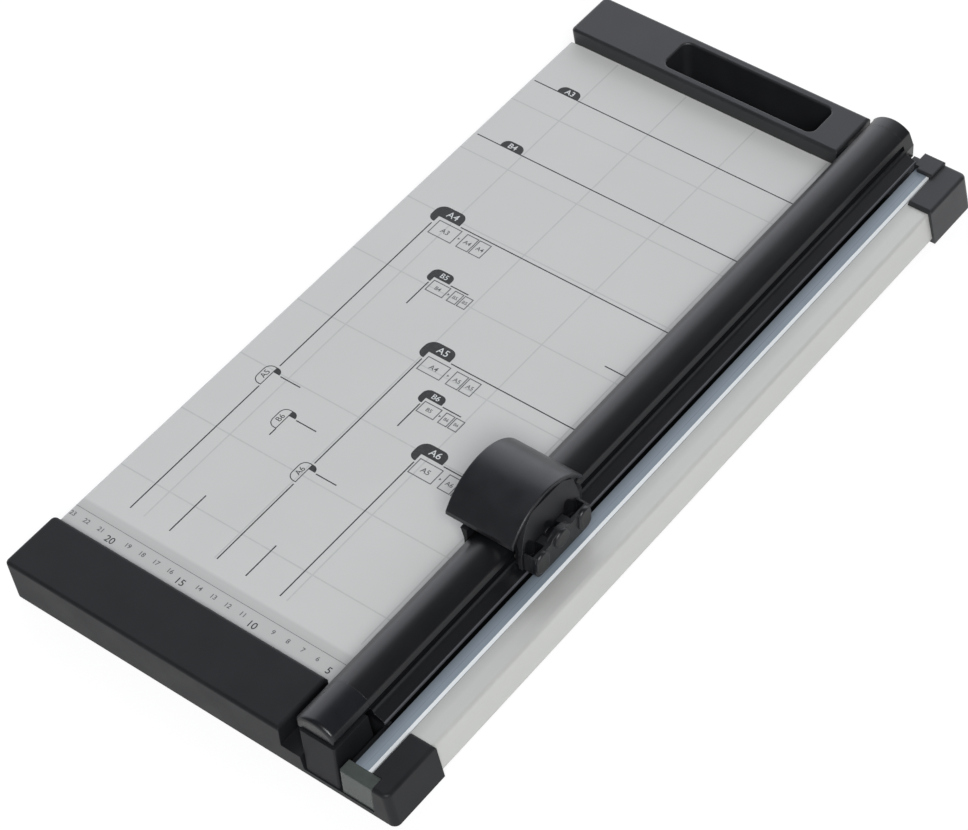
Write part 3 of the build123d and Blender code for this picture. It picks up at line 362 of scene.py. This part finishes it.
pinLook = {"colour": onScreen(176, 178, 181), "worn": onScreen(214, 215, 216),
           "drawn": (0.1, 1, 1), "line": 0.2, "depth": 0.002, "mottle": 5, "shade": 0.08,
           "rough": (0.16, 0.3), "edge": 0.25, "wear": 0.6, "metal": 1.0, "gloss": 0.5}
dress(drawnFinish("pinSteel", pinLook), "hinge_pin", "guide_pins", "blade_axle")

springLook = {"colour": onScreen(150, 152, 154), "worn": onScreen(196, 197, 198),
              "drawn": (1, 1, 0.4), "line": 0.3, "depth": 0.003, "mottle": 3, "shade": 0.12,
              "rough": (0.22, 0.38), "edge": 0.15, "wear": 0.4, "metal": 1.0, "gloss": 0.5}
springSteel = drawnFinish("springSteel", springLook)

bladeLook = {"colour": onScreen(186, 189, 192), "worn": onScreen(228, 229, 230),
             "drawn": (1, 1, 0.05), "line": 0.2, "depth": 0.002, "mottle": 4, "shade": 0.08,
             "rough": (0.14, 0.28), "edge": 0.2, "wear": 0.8, "metal": 1.0, "gloss": 0.5}
dress(drawnFinish("bladeSteel", bladeLook), "blade")
print("metals done")


# painted table, a little darker along the ruler strip and its line

tableLook = {"colour": onScreen(192, 193, 191), "worn": onScreen(208, 210, 209), "shade": 0.018,
             "mottle": 70, "rough": (0.4, 0.5), "gloss": 0.35, "edge": 0.4, "wear": 0.5,
             "peel": 0.9, "peelDepth": 0.006, "speck": 0.5, "speckFrom": (0.62, 0.75),
             "speckShare": 0.05, "speckShade": 0.6, "deep": 0.1, "strip": 20.5,
             "stripFade": (1.2, 0.8), "stripShade": 0.17, "line": (12.5, 18.0), "lineRise": 2,
             "lineFall": 3, "lineShade": 0.04}


def tableFinish(look):
    finish, tree, shader = newFinish("tablePaint")
    place = placeOf(tree)
    broad = cloud(tree, place, look["mottle"], detail=4)
    peel = cloud(tree, place, look["peel"], detail=2)
    speck = cloud(tree, place, look["speck"], detail=1)
    normal, edge = softEdge(tree, look["edge"])
    along = axes(tree, place)["Y"]
    end = stopY + look["strip"] * mm
    before, after = look["stripFade"]
    strip = spread(tree, along, look["stripShade"], 0, end - before * mm, end + after * mm)
    low, high = (stopY + value * mm for value in look["line"])
    rise = spread(tree, along, 0, 1, low, low + look["lineRise"] * mm)
    fall = spread(tree, along, look["lineShade"], 0, low + look["lineFall"] * mm, high)
    shade = combine(tree, strip, combine(tree, rise, fall), "ADD")
    body = mottled(tree, spread(tree, broad, 0, 1), look)
    body = blendColour(tree, shade, body, scaled(look["colour"], look["deep"]))
    dots = spread(tree, speck, 0, look["speckShare"], *look["speckFrom"])
    body = blendColour(tree, dots, body, scaled(look["colour"], look["speckShade"]))
    body = blendColour(tree, combine(tree, edge, look["wear"]), body, look["worn"])
    coat(tree, shader, body, spread(tree, broad, *look["rough"]),
         bump(tree, peel, look["peelDepth"], normal), look["gloss"])
    return finish


dress(tableFinish(tableLook), "table_plate")


# blue-grey cutting mat with a painted highlight on its bevel, painted shade beside the rail and a
# scored cutting line

matLook = {"colour": onScreen(126, 137, 147), "bevel": onScreen(216, 220, 222),
           "bevelHighlightFrom": (0.15, 0.3), "mottle": 25, "shade": 0.05, "rough": (0.36, 0.39),
           "gloss": 0.5, "strand": 0.5, "strandDrawn": (1, 0.03, 1), "strandDepth": 0.001,
           "dim": 0.55, "railShadeReach": 5.0, "score": onScreen(84, 94, 102), "scoreWidth": 0.35,
           "scoreCore": 0.6, "scoreShare": (0.3, 0.8)}


def matFinish(look):
    finish, tree, shader = newFinish("matPlastic")
    place = placeOf(tree)
    broad = cloud(tree, place, look["mottle"], detail=3)
    strands = cloud(tree, placeOf(tree, look["strandDrawn"]), look["strand"], detail=3)
    across = axes(tree, place)["X"]
    body = mottled(tree, spread(tree, broad, 0, 1), look)
    # painted shade: the mat is darkened towards the rail, down to its dim share of the colour
    dim = spread(tree, across, 1, 0, matLow.x, matLow.x + look["railShadeReach"] * mm)  # beside the rail
    body = blendColour(tree, dim, body, scaled(look["colour"], look["dim"]))
    away = combine(tree, combine(tree, across, cutX, "SUBTRACT"), 0, "ABSOLUTE")
    half = look["scoreWidth"] * mm / 2
    score = spread(tree, away, 1, 0, half * look["scoreCore"], half)
    score = combine(tree, score, spread(tree, strands, *look["scoreShare"]))
    body = blendColour(tree, score, body, look["score"])
    # painted highlight: faces turned towards +X, the mat's bevel, take the pale bevel colour
    face = addNode(tree, "ShaderNodeNewGeometry")
    bevelHighlight = spread(tree, axes(tree, face.outputs["Normal"])["X"], 0, 1, *look["bevelHighlightFrom"])
    coat(tree, shader, blendColour(tree, bevelHighlight, body, look["bevel"]),
         spread(tree, strands, *look["rough"]),
         bump(tree, strands, look["strandDepth"]), look["gloss"])
    return finish


dress(matFinish(matLook), "cutting_mat")


# smoky clear block that stops the mat

blockLook = {"colour": onScreen(80, 87, 83), "shade": 0.08, "mottle": 6, "rough": (0.16, 0.26),
             "clear": 0.3, "bend": 1.49, "gloss": 0.15, "edge": 0.4, "edgeShare": 0.4,
             "edgeGlintScale": 1.5, "ripple": 1.6, "rippleDepth": 0.003}


def blockFinish(look):
    finish, tree, shader = newFinish("smokyPlastic")
    place = placeOf(tree)
    broad = cloud(tree, place, look["mottle"], detail=4)
    ripple = cloud(tree, place, look["ripple"], detail=2)
    normal, edge = softEdge(tree, look["edge"])
    body = mottled(tree, spread(tree, broad, 0, 1), look)
    # painted highlight: the block's edges are made lighter
    edgeGlint = combine(tree, edge, look["edgeShare"])
    coat(tree, shader, blendColour(tree, edgeGlint, body, scaled(look["colour"], look["edgeGlintScale"])),
         spread(tree, broad, *look["rough"]),
         bump(tree, ripple, look["rippleDepth"], normal), look["gloss"])
    shader.inputs["Transmission Weight"].default_value = look["clear"]
    shader.inputs["IOR"].default_value = look["bend"]
    return finish


dress(blockFinish(blockLook), "mat_stop")
print("table, mat and block done")


# inks on the table

inkSkin = {"thinFrom": (0.45, 0.8), "grain": 0.25, "depth": 0.003, "gloss": 0.35}


def inkFinish(name, look):  # screen ink, slightly thin in places
    finish, tree, shader = newFinish(name)
    place = placeOf(tree)
    thin = cloud(tree, place, look["mottle"], detail=4)
    grain = cloud(tree, place, inkSkin["grain"], detail=2)
    bare = spread(tree, thin, 0, look["thin"], *inkSkin["thinFrom"])
    coat(tree, shader, blendColour(tree, bare, look["colour"], look["under"]),
         spread(tree, thin, *look["rough"]), bump(tree, grain, inkSkin["depth"]), inkSkin["gloss"])
    return finish


blackLook = {"colour": onScreen(40, 41, 42), "under": onScreen(74, 76, 76), "mottle": 1.5,
             "thin": 0.5, "rough": (0.42, 0.56)}
blackInk = inkFinish("blackInk", blackLook)
greyLook = {"colour": onScreen(88, 90, 91), "under": onScreen(120, 123, 123), "mottle": 1.2,
            "thin": 0.6, "rough": (0.44, 0.58)}
greyInk = inkFinish("greyInk", greyLook)
whiteLook = {"colour": onScreen(206, 209, 209), "under": onScreen(168, 171, 171), "mottle": 1.0,
             "thin": 0.4, "rough": (0.42, 0.55)}
whiteInk = inkFinish("whiteInk", whiteLook)
faintLook = {"colour": onScreen(177, 179, 177), "under": onScreen(186, 188, 186), "mottle": 3.0,
             "thin": 0.8, "rough": (0.4, 0.5)}
gridInk = inkFinish("gridInk", faintLook)


# mesh helpers for marks: all places in mm from the cutting line and the paper stop

inkLow = -0.05  # marks start a little inside the table
wordDepth = 0.05  # half a word's thickness before it is scaled
weldReach = 1e-7


def markPoint(x, y, z):
    return Vector((cutX + x * mm, stopY + y * mm, tableTop + z * mm))


def addPrism(mesh, points, rise):
    foot = [mesh.verts.new(markPoint(x, y, inkLow)) for x, y in points]
    head = [mesh.verts.new(markPoint(x, y, rise)) for x, y in points]
    count = len(points)
    mesh.faces.new(head)
    mesh.faces.new(foot[::-1])
    for i in range(count):
        j = (i + 1) % count
        mesh.faces.new((foot[i], foot[j], head[j], head[i]))


def addRing(mesh, outer, inner, rise):
    loops = [[mesh.verts.new(markPoint(x, y, z)) for x, y in points]
             for points in (outer, inner) for z in (inkLow, rise)]
    outFoot, outHead, inFoot, inHead = loops
    count = len(outer)
    for i in range(count):
        j = (i + 1) % count
        mesh.faces.new((outHead[i], outHead[j], inHead[j], inHead[i]))
        mesh.faces.new((outFoot[j], outFoot[i], inFoot[i], inFoot[j]))
        mesh.faces.new((outFoot[i], outFoot[j], outHead[j], outHead[i]))
        mesh.faces.new((inFoot[j], inFoot[i], inHead[i], inHead[j]))


def rounded(corners, steps=6):  # corners are (x, y, radius), anticlockwise and square
    points = []
    count = len(corners)
    for i, (x, y, radius) in enumerate(corners):
        if radius == 0:
            points.append((x, y))
            continue
        here = Vector((x, y))
        before = (Vector(corners[i - 1][:2]) - here).normalized()
        after = (Vector(corners[(i + 1) % count][:2]) - here).normalized()
        centre = here + (before + after) * radius
        first = here + before * radius - centre
        second = here + after * radius - centre
        for step in range(steps + 1):
            turn = math.pi / 2 * step / steps
            point = centre + first * math.cos(turn) + second * math.sin(turn)
            points.append((point.x, point.y))
    return points


def rectangle(x0, x1, y0, y1):
    return [(x0, y0), (x1, y0), (x1, y1), (x0, y1)]


def addText(mesh, words, x, y, height, rise, bold=0.0, turn=0):
    curve = bpy.data.curves.new("words", "FONT")
    curve.body = words
    curve.offset = bold
    curve.extrude = wordDepth
    carrier = bpy.data.objects.new("words", curve)
    scene.collection.objects.link(carrier)
    drawn = carrier.evaluated_get(bpy.context.evaluated_depsgraph_get())
    shape = bpy.data.meshes.new_from_object(drawn)
    bpy.data.objects.remove(carrier)
    lowX, highX = (pick(v.co.x for v in shape.vertices) for pick in (min, max))
    lowY, highY = (pick(v.co.y for v in shape.vertices) for pick in (min, max))
    size = height * mm / (highY - lowY)
    centre = Matrix.Translation((-(lowX + highX) / 2, -(lowY + highY) / 2, 0))
    thick = Matrix.Diagonal((size, size, (rise - inkLow) * mm / (2 * wordDepth), 1))
    spin = Matrix.Rotation(math.radians(turn), 4, "Z")
    middle = Matrix.Translation(markPoint(x, y, (inkLow + rise) / 2))
    shape.transform(middle @ spin @ thick @ centre)
    mesh.from_mesh(shape)
    bpy.data.meshes.remove(shape)


def meshPiece(mesh, name, finish):  # turns a built mesh into a piece
    bmesh.ops.recalc_face_normals(mesh, faces=mesh.faces)
    data = bpy.data.meshes.new(name)
    mesh.to_mesh(data)
    mesh.free()
    data.materials.append(finish)
    piece = bpy.data.objects.new(name, data)
    scene.collection.objects.link(piece)
    return piece


def finishMarks(mesh, name, ink):
    bmesh.ops.remove_doubles(mesh, verts=mesh.verts, dist=weldReach)
    piece = meshPiece(mesh, name, ink)
    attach(piece, "base")


# paper outlines: the corner of each sheet, with its tag

bigTag = {"radii": (4.4, 4.8, 6.2), "text": 4.6}  # radii of the leg, the right end, the top left
smallTag = {"radii": (3.2, 3.6, 4.6), "text": 3.6}

# tag is its left, right and top from the corner, leg its width and its foot;
# a line with no end goes under the rail, a run with no end down to the ruler strip
sheets = {
    "line": 0.75, "rise": 0.03, "textRise": 0.045, "left": -233.3, "underRail": -9.0, "foot": 29.3,
    "tagLift": 0.2, "textShift": (2 / 9, 0.1), "bold": 0.002,
    "corners": {
        "A4": {"at": (-210, 297), "kind": bigTag, "tag": (-4.7, 15.3, 9.1), "leg": (5.1, -4.6),
               "line": (16.4, None), "runs": [(290.7, 154.3), (136.7, None)]},
        "A5": {"at": (-148.5, 210), "kind": bigTag, "tag": (-4.9, 14.6, 8.7), "leg": (5.0, -5.0),
               "line": (15.8, None), "runs": [(203.9, 110.3), (92.7, None)]},
        "A6": {"at": (-105, 148.5), "kind": bigTag, "tag": (-5.2, 14.2, 8.7), "leg": (5.1, -5.4),
               "line": (15.3, None), "runs": [(142.1, None)]},
        "B5": {"at": (-182, 257), "kind": smallTag, "tag": (-3.7, 11.1, 6.9), "leg": (4.0, -3.6),
               "line": (12.3, 25.0), "runs": [(252.4, 232.1), (59.3, None)]},
        "B6": {"at": (-128.5, 182), "kind": smallTag, "tag": (-4.0, 10.8, 6.5), "leg": (4.1, -3.9),
               "line": (11.9, 24.7), "runs": [(177.0, 157.1), (54.4, None)]},
    },
    "railEnd": (-61.7, 257),  # the last stretch of the B5 line, beside the rail
    "across": {"A3": 420, "B4": 364},
    "acrossTag": {"left": -216.5, "right": -201.5, "high": 6.3, "radius": 4.6, "text": 4.0,
                  "textUp": 2.9, "bold": 0.01},
    "turned": {"A5": (-210, 148.5), "B6": (-182, 128.5), "A6": (-148.5, 105)},  # read upwards
    "turnedTail": {"B6": 112.1},
    "turnedTag": {"x": (-6.4, 0.1), "y": (-10.9, 4.2), "wide": 0.55, "radius": 4.6, "inner": 4.1,
                  "flag": 4.3, "flagLift": 0.3, "flagRadius": 3.7, "line": (5.4, 19.7),
                  "textAt": (-3.2, -3.3), "text": 3.6},
}


def paperMarks(look):
    black = bmesh.new()
    white = bmesh.new()
    rise, textRise, half = look["rise"], look["textRise"], look["line"] / 2

    def lineAcross(x0, x1, y):
        addPrism(black, rectangle(x0, x1, y - half, y + half), rise)

    def lineAlong(x, y0, y1):
        addPrism(black, rectangle(x - half, x + half, y0, y1), rise)

    def cornerMark(name, sheet):
        x, y = sheet["at"]
        left, right, high = sheet["tag"]
        legWide, legLow = sheet["leg"]
        legRadius, endRadius, topRadius = sheet["kind"]["radii"]
        legRight, tagLow = x + left + legWide, y + look["tagLift"]
        addPrism(black, rounded([
            (x + left, y + legLow, legRadius), (legRight, y + legLow, 0),
            (legRight, tagLow, 0), (x + right, tagLow, 0),
            (x + right, y + high, endRadius), (x + left, y + high, topRadius),
        ]), rise)
        shareX, upY = look["textShift"]
        addText(white, name, x + (left + right) / 2 + shareX * high, y + high / 2 + upY,
                sheet["kind"]["text"], textRise, look["bold"])
        start, end = sheet["line"]
        lineAcross(x + start, look["underRail"] if end is None else x + end, y)
        for top, bottom in sheet["runs"]:
            lineAlong(x, look["foot"] if bottom is None else bottom, top)

    def acrossMark(name, y, tag):
        left, right, top = tag["left"], tag["right"], y + tag["high"]
        lineAcross(look["left"], look["underRail"], y)
        addPrism(black, rounded([(left, y + half, 0), (right, y + half, 0),
                                 (right, top, tag["radius"]), (left, top, tag["radius"])]), rise)
        addText(white, name, (left + right) / 2, y + tag["textUp"], tag["text"], textRise,
                tag["bold"])

    def turnedMark(name, x, y, tag):
        left, right = (x + value for value in tag["x"])
        low, high = (y + value for value in tag["y"])
        outer = (left, right, low, high, tag["radius"])
        wide = tag["wide"]
        inner = (left + wide, right - wide, low + wide, high - wide, tag["inner"])
        addRing(black, *(rounded([(x0, y0, radius), (x1, y0, 0), (x1, y1, 0), (x0, y1, radius)])
                         for x0, x1, y0, y1, radius in (outer, inner)), rise)
        flagRight, flagLow = right + tag["flag"], y + tag["flagLift"]
        addPrism(black, rounded([(right, flagLow, 0), (flagRight, flagLow, 0),
                                 (flagRight, high, tag["flagRadius"]), (right, high, 0)]), rise)
        start, end = tag["line"]
        lineAcross(x + start, x + end, y)
        if name in look["turnedTail"]:
            lineAlong(x, look["turnedTail"][name], low)
        textX, textY = tag["textAt"]
        addText(black, name, x + textX, y + textY, tag["text"], rise, turn=90)

    for name, sheet in look["corners"].items():
        cornerMark(name, sheet)
    start, y = look["railEnd"]
    lineAcross(start, look["underRail"], y)
    for name, y in look["across"].items():
        acrossMark(name, y, look["acrossTag"])
    for name, (x, y) in look["turned"].items():
        turnedMark(name, x, y, look["turnedTag"])
    finishMarks(black, "paperOutlines", blackInk)
    finishMarks(white, "paperTagText", whiteInk)


paperMarks(sheets)


# small pictures of a sheet halved: the whole, an arrow, two halves

halves = {
    "line": 0.62, "bold": 0.012, "rise": 0.03, "wholeText": 0.3, "halfText": 0.25,
    "arrow": {"shift": 0.75, "long": 1.4, "half": 0.85},
    "places": [  # whole sheet, its x0 x1 y0 y1, half sheet, x0 x1 of its two boxes
        ("A3", (-207.3, -190.6, 283.1, 295.1), "A4", (-187.0, -178.4, -177.9, -169.4)),
        ("B4", (-180.3, -167.9, 246.4, 255.6), "B5", (-165.1, -158.6, -158.0, -151.9)),
        ("A4", (-146.6, -130.4, 196.1, 207.6), "A5", (-126.4, -117.9, -117.4, -109.1)),
        ("B5", (-127.4, -115.1, 171.4, 180.3), "B6", (-112.4, -106.1, -105.6, -99.3)),
        ("A5", (-103.7, -87.6, 134.4, 146.3), "A6", (-83.6, -75.0, -74.5, -66.0)),
    ],
}


def halvedMarks(look):
    mesh = bmesh.new()
    rise, wide, arrow = look["rise"], look["line"], look["arrow"]

    def frameBox(words, x0, x1, y0, y1, share):
        inside = rectangle(x0 + wide, x1 - wide, y0 + wide, y1 - wide)
        addRing(mesh, rectangle(x0, x1, y0, y1), inside, rise)
        addText(mesh, words, (x0 + x1) / 2, (y0 + y1) / 2, (y1 - y0) * share, rise, look["bold"])

    for whole, (x0, x1, y0, y1), half, (a0, a1, b0, b1) in look["places"]:
        frameBox(whole, x0, x1, y0, y1, look["wholeText"])
        frameBox(half, a0, a1, y0, y1, look["halfText"])
        frameBox(half, b0, b1, y0, y1, look["halfText"])
        tip, middle = (x1 + a0) / 2 + arrow["shift"], (y0 + y1) / 2
        tail, spur = tip - arrow["long"], arrow["half"]
        addPrism(mesh, [(tail, middle - spur), (tip, middle), (tail, middle + spur)], rise)
    finishMarks(mesh, "halvedSheets", greyInk)


halvedMarks(halves)


# ruler strip along the paper stop, in centimetres from the cutting line

ruler = {
    "line": 14.3, "lineHalf": 0.13, "ends": (-235.4, -9), "rise": 0.03, "last": 23, "step": 10.0,
    "small": {"up": 8.9, "high": 3.0, "bold": 0.012, "shift": {1: 2.3, 2: 3.0}},  # by figures
    "large": {"up": 6.4, "high": 4.4, "bold": 0.004,
              "shift": {5: 3.1, 10: 4.1, 15: 4.0, 20: 4.1}},  # by number
}


def rulerMarks(look):
    strong = bmesh.new()
    faint = bmesh.new()
    rise, line, lineHalf = look["rise"], look["line"], look["lineHalf"]
    small, large = look["small"], look["large"]
    addPrism(faint, rectangle(*look["ends"], line - lineHalf, line + lineHalf), rise)
    for number in range(1, look["last"] + 1):
        words = str(number)
        if number in large["shift"]:
            mesh, size, shift = strong, large, large["shift"][number]
        else:
            mesh, size, shift = faint, small, small["shift"][len(words)]
        x = -look["step"] * number - shift
        addText(mesh, words, x, size["up"], size["high"], rise, size["bold"])
    finishMarks(strong, "rulerFives", blackInk)
    finishMarks(faint, "rulerMarks", greyInk)


rulerMarks(ruler)


# faint grid every five centimetres

grid = {"wide": 0.9, "rise": 0.018, "riseAcross": 0.015, "x": (-50, -100, -150, -200),
        "y": range(50, 401, 50), "along": (29, 459), "across": (-235, -9)}


def gridMarks(look):
    mesh = bmesh.new()
    half = look["wide"] / 2
    for x in look["x"]:
        addPrism(mesh, rectangle(x - half, x + half, *look["along"]), look["rise"])
    for y in look["y"]:
        addPrism(mesh, rectangle(*look["across"], y - half, y + half), look["riseAcross"])
    finishMarks(mesh, "gridLines", gridInk)


gridMarks(grid)
print("marks on the table done")


# springs round the guide pins; on the real trimmer they close up as the dome is pressed, here they
# are fixed coils

springShape = {"wire": 1.0, "turns": 3, "steps": 32, "sides": 12, "travel": 2.0}


def addSpring(mesh, centre, radius, rise, shape):
    count, sides = shape["turns"] * shape["steps"], shape["sides"]
    half = shape["wire"] * mm / 2
    angles = [2 * math.pi * k / sides for k in range(sides)]
    rings = []
    for i in range(count + 1):
        turn = 2 * math.pi * i / shape["steps"]
        outward = Vector((math.cos(turn), math.sin(turn), 0))
        middle = centre + outward * radius + skyward * (rise * i / count)
        spokes = [math.cos(a) * outward + math.sin(a) * skyward for a in angles]
        rings.append([mesh.verts.new(middle + half * spoke) for spoke in spokes])
    for first, second in zip(rings, rings[1:]):
        for i in range(sides):
            j = (i + 1) % sides
            mesh.faces.new((first[i], first[j], second[j], second[i]))
    mesh.faces.new(rings[0][::-1])
    mesh.faces.new(rings[-1])


def pressSprings(shape):
    low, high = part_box("press_springs")
    half = shape["wire"] * mm / 2
    reach = (high.x - low.x) / 2
    rise = high.z - low.z
    mesh = bmesh.new()
    for y in (low.y + reach, high.y - reach):
        foot = Vector((low.x + reach, y, low.z + half))
        addSpring(mesh, foot, reach - half, rise - 2 * half, shape)
    springs = meshPiece(mesh, "pressSprings", springSteel)
    springs.data.shade_smooth()
    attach(springs, "carriage")
    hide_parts("press_springs")
    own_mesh(springs)


pressSprings(springShape)
print("springs done")


# floor, white to the eye and to reflections, with the trimmer's shadow on it

floorLook = {"reach": 8.0, "drop": 0.3, "colour": (0.8, 0.8, 0.8, 1), "shadowShare": 0.24,
             "glow": 0.8}


def makeFloor(look):
    data = bpy.data.meshes.new("floor")
    reach = look["reach"]
    corners = [(x, y, 0) for x, y in rectangle(-reach, reach, -reach, reach)]
    data.from_pydata(corners, [], [(0, 1, 2, 3)])
    floor = bpy.data.objects.new("floor", data)
    floor.location.z = -look["drop"] * mm
    scene.collection.objects.link(floor)
    finish = bpy.data.materials.new("floorWhite")
    finish.use_nodes = True
    tree = finish.node_tree
    tree.nodes.clear()
    rays = addNode(tree, "ShaderNodeLightPath").outputs
    seen = combine(tree, rays["Is Camera Ray"], rays["Is Glossy Ray"], "MAXIMUM")
    seen = combine(tree, seen, rays["Is Transmission Ray"], "MAXIMUM")
    lit = addNode(tree, "ShaderNodeBsdfDiffuse")
    lit.inputs["Color"].default_value = look["colour"]
    shade = addNode(tree, "ShaderNodeBsdfDiffuse")
    shade.inputs["Color"].default_value = (look["shadowShare"],) * 3 + (1,)
    glow = addNode(tree, "ShaderNodeEmission")
    glow.inputs["Strength"].default_value = look["glow"]
    both = addNode(tree, "ShaderNodeAddShader")
    join(tree, shade.outputs["BSDF"], both.inputs[0])
    join(tree, glow.outputs["Emission"], both.inputs[1])
    pick = addNode(tree, "ShaderNodeMixShader")
    join(tree, seen, pick.inputs["Fac"])
    join(tree, lit.outputs["BSDF"], pick.inputs[1])
    join(tree, both.outputs["Shader"], pick.inputs[2])
    out = addNode(tree, "ShaderNodeOutputMaterial")
    join(tree, pick.outputs["Shader"], out.inputs["Surface"])
    data.materials.append(finish)


makeFloor(floorLook)


# studio: two bright walls under a dim ceiling, and one soft lamp from the front

studio = {
    "tint": (0.97, 0.985, 1.05), "dim": 0.1,
    "walls": [  # edge is where a wall starts and is full, fade the heights where it ends
        {"facing": (-0.62, 0.78), "edge": (0.25, 0.62), "bright": 1.65, "fade": (0.68, 0.82)},
        {"facing": (0.75, -0.66), "edge": (0.25, 0.75), "bright": 0.4, "fade": (0.6, 0.9)},
    ],
}


def makeWorld(look):
    world = bpy.data.worlds.new("studio")
    world.use_nodes = True
    tree = world.node_tree
    tree.nodes.clear()
    way = axes(tree, addNode(tree, "ShaderNodeTexCoord").outputs["Generated"])
    level = look["dim"]
    for wall in look["walls"]:
        east, north = wall["facing"]
        toward = combine(tree, combine(tree, way["X"], east), combine(tree, way["Y"], north), "ADD")
        side = spread(tree, toward, 0, wall["bright"], *wall["edge"])
        low = spread(tree, way["Z"], 1, 0, *wall["fade"])
        level = combine(tree, combine(tree, side, low), level, "ADD")
    tinted = addNode(tree, "ShaderNodeVectorMath", operation="SCALE")
    tinted.inputs[0].default_value = look["tint"]
    join(tree, level, tinted.inputs["Scale"])
    background = addNode(tree, "ShaderNodeBackground")
    join(tree, tinted.outputs["Vector"], background.inputs["Color"])
    out = addNode(tree, "ShaderNodeOutputWorld")
    join(tree, background.outputs["Background"], out.inputs["Surface"])
    scene.world = world


makeWorld(studio)

keyLamp = {"place": (5.1, -5.25, 7.5), "aim": (0, 0, 0), "size": (4.8, 4.8), "power": 905.0}


def addLamp(name, look):
    data = bpy.data.lights.new(name, "AREA")
    data.shape = "RECTANGLE"
    data.size, data.size_y = look["size"]
    data.energy = look["power"]
    lamp = bpy.data.objects.new(name, data)
    place = Vector(look["place"])
    lamp.location = place
    lamp.rotation_euler = (place - Vector(look["aim"])).to_track_quat("Z", "Y").to_euler()
    scene.collection.objects.link(lamp)


addLamp("key", keyLamp)
print("stage done")

bpy.context.view_layer.update()
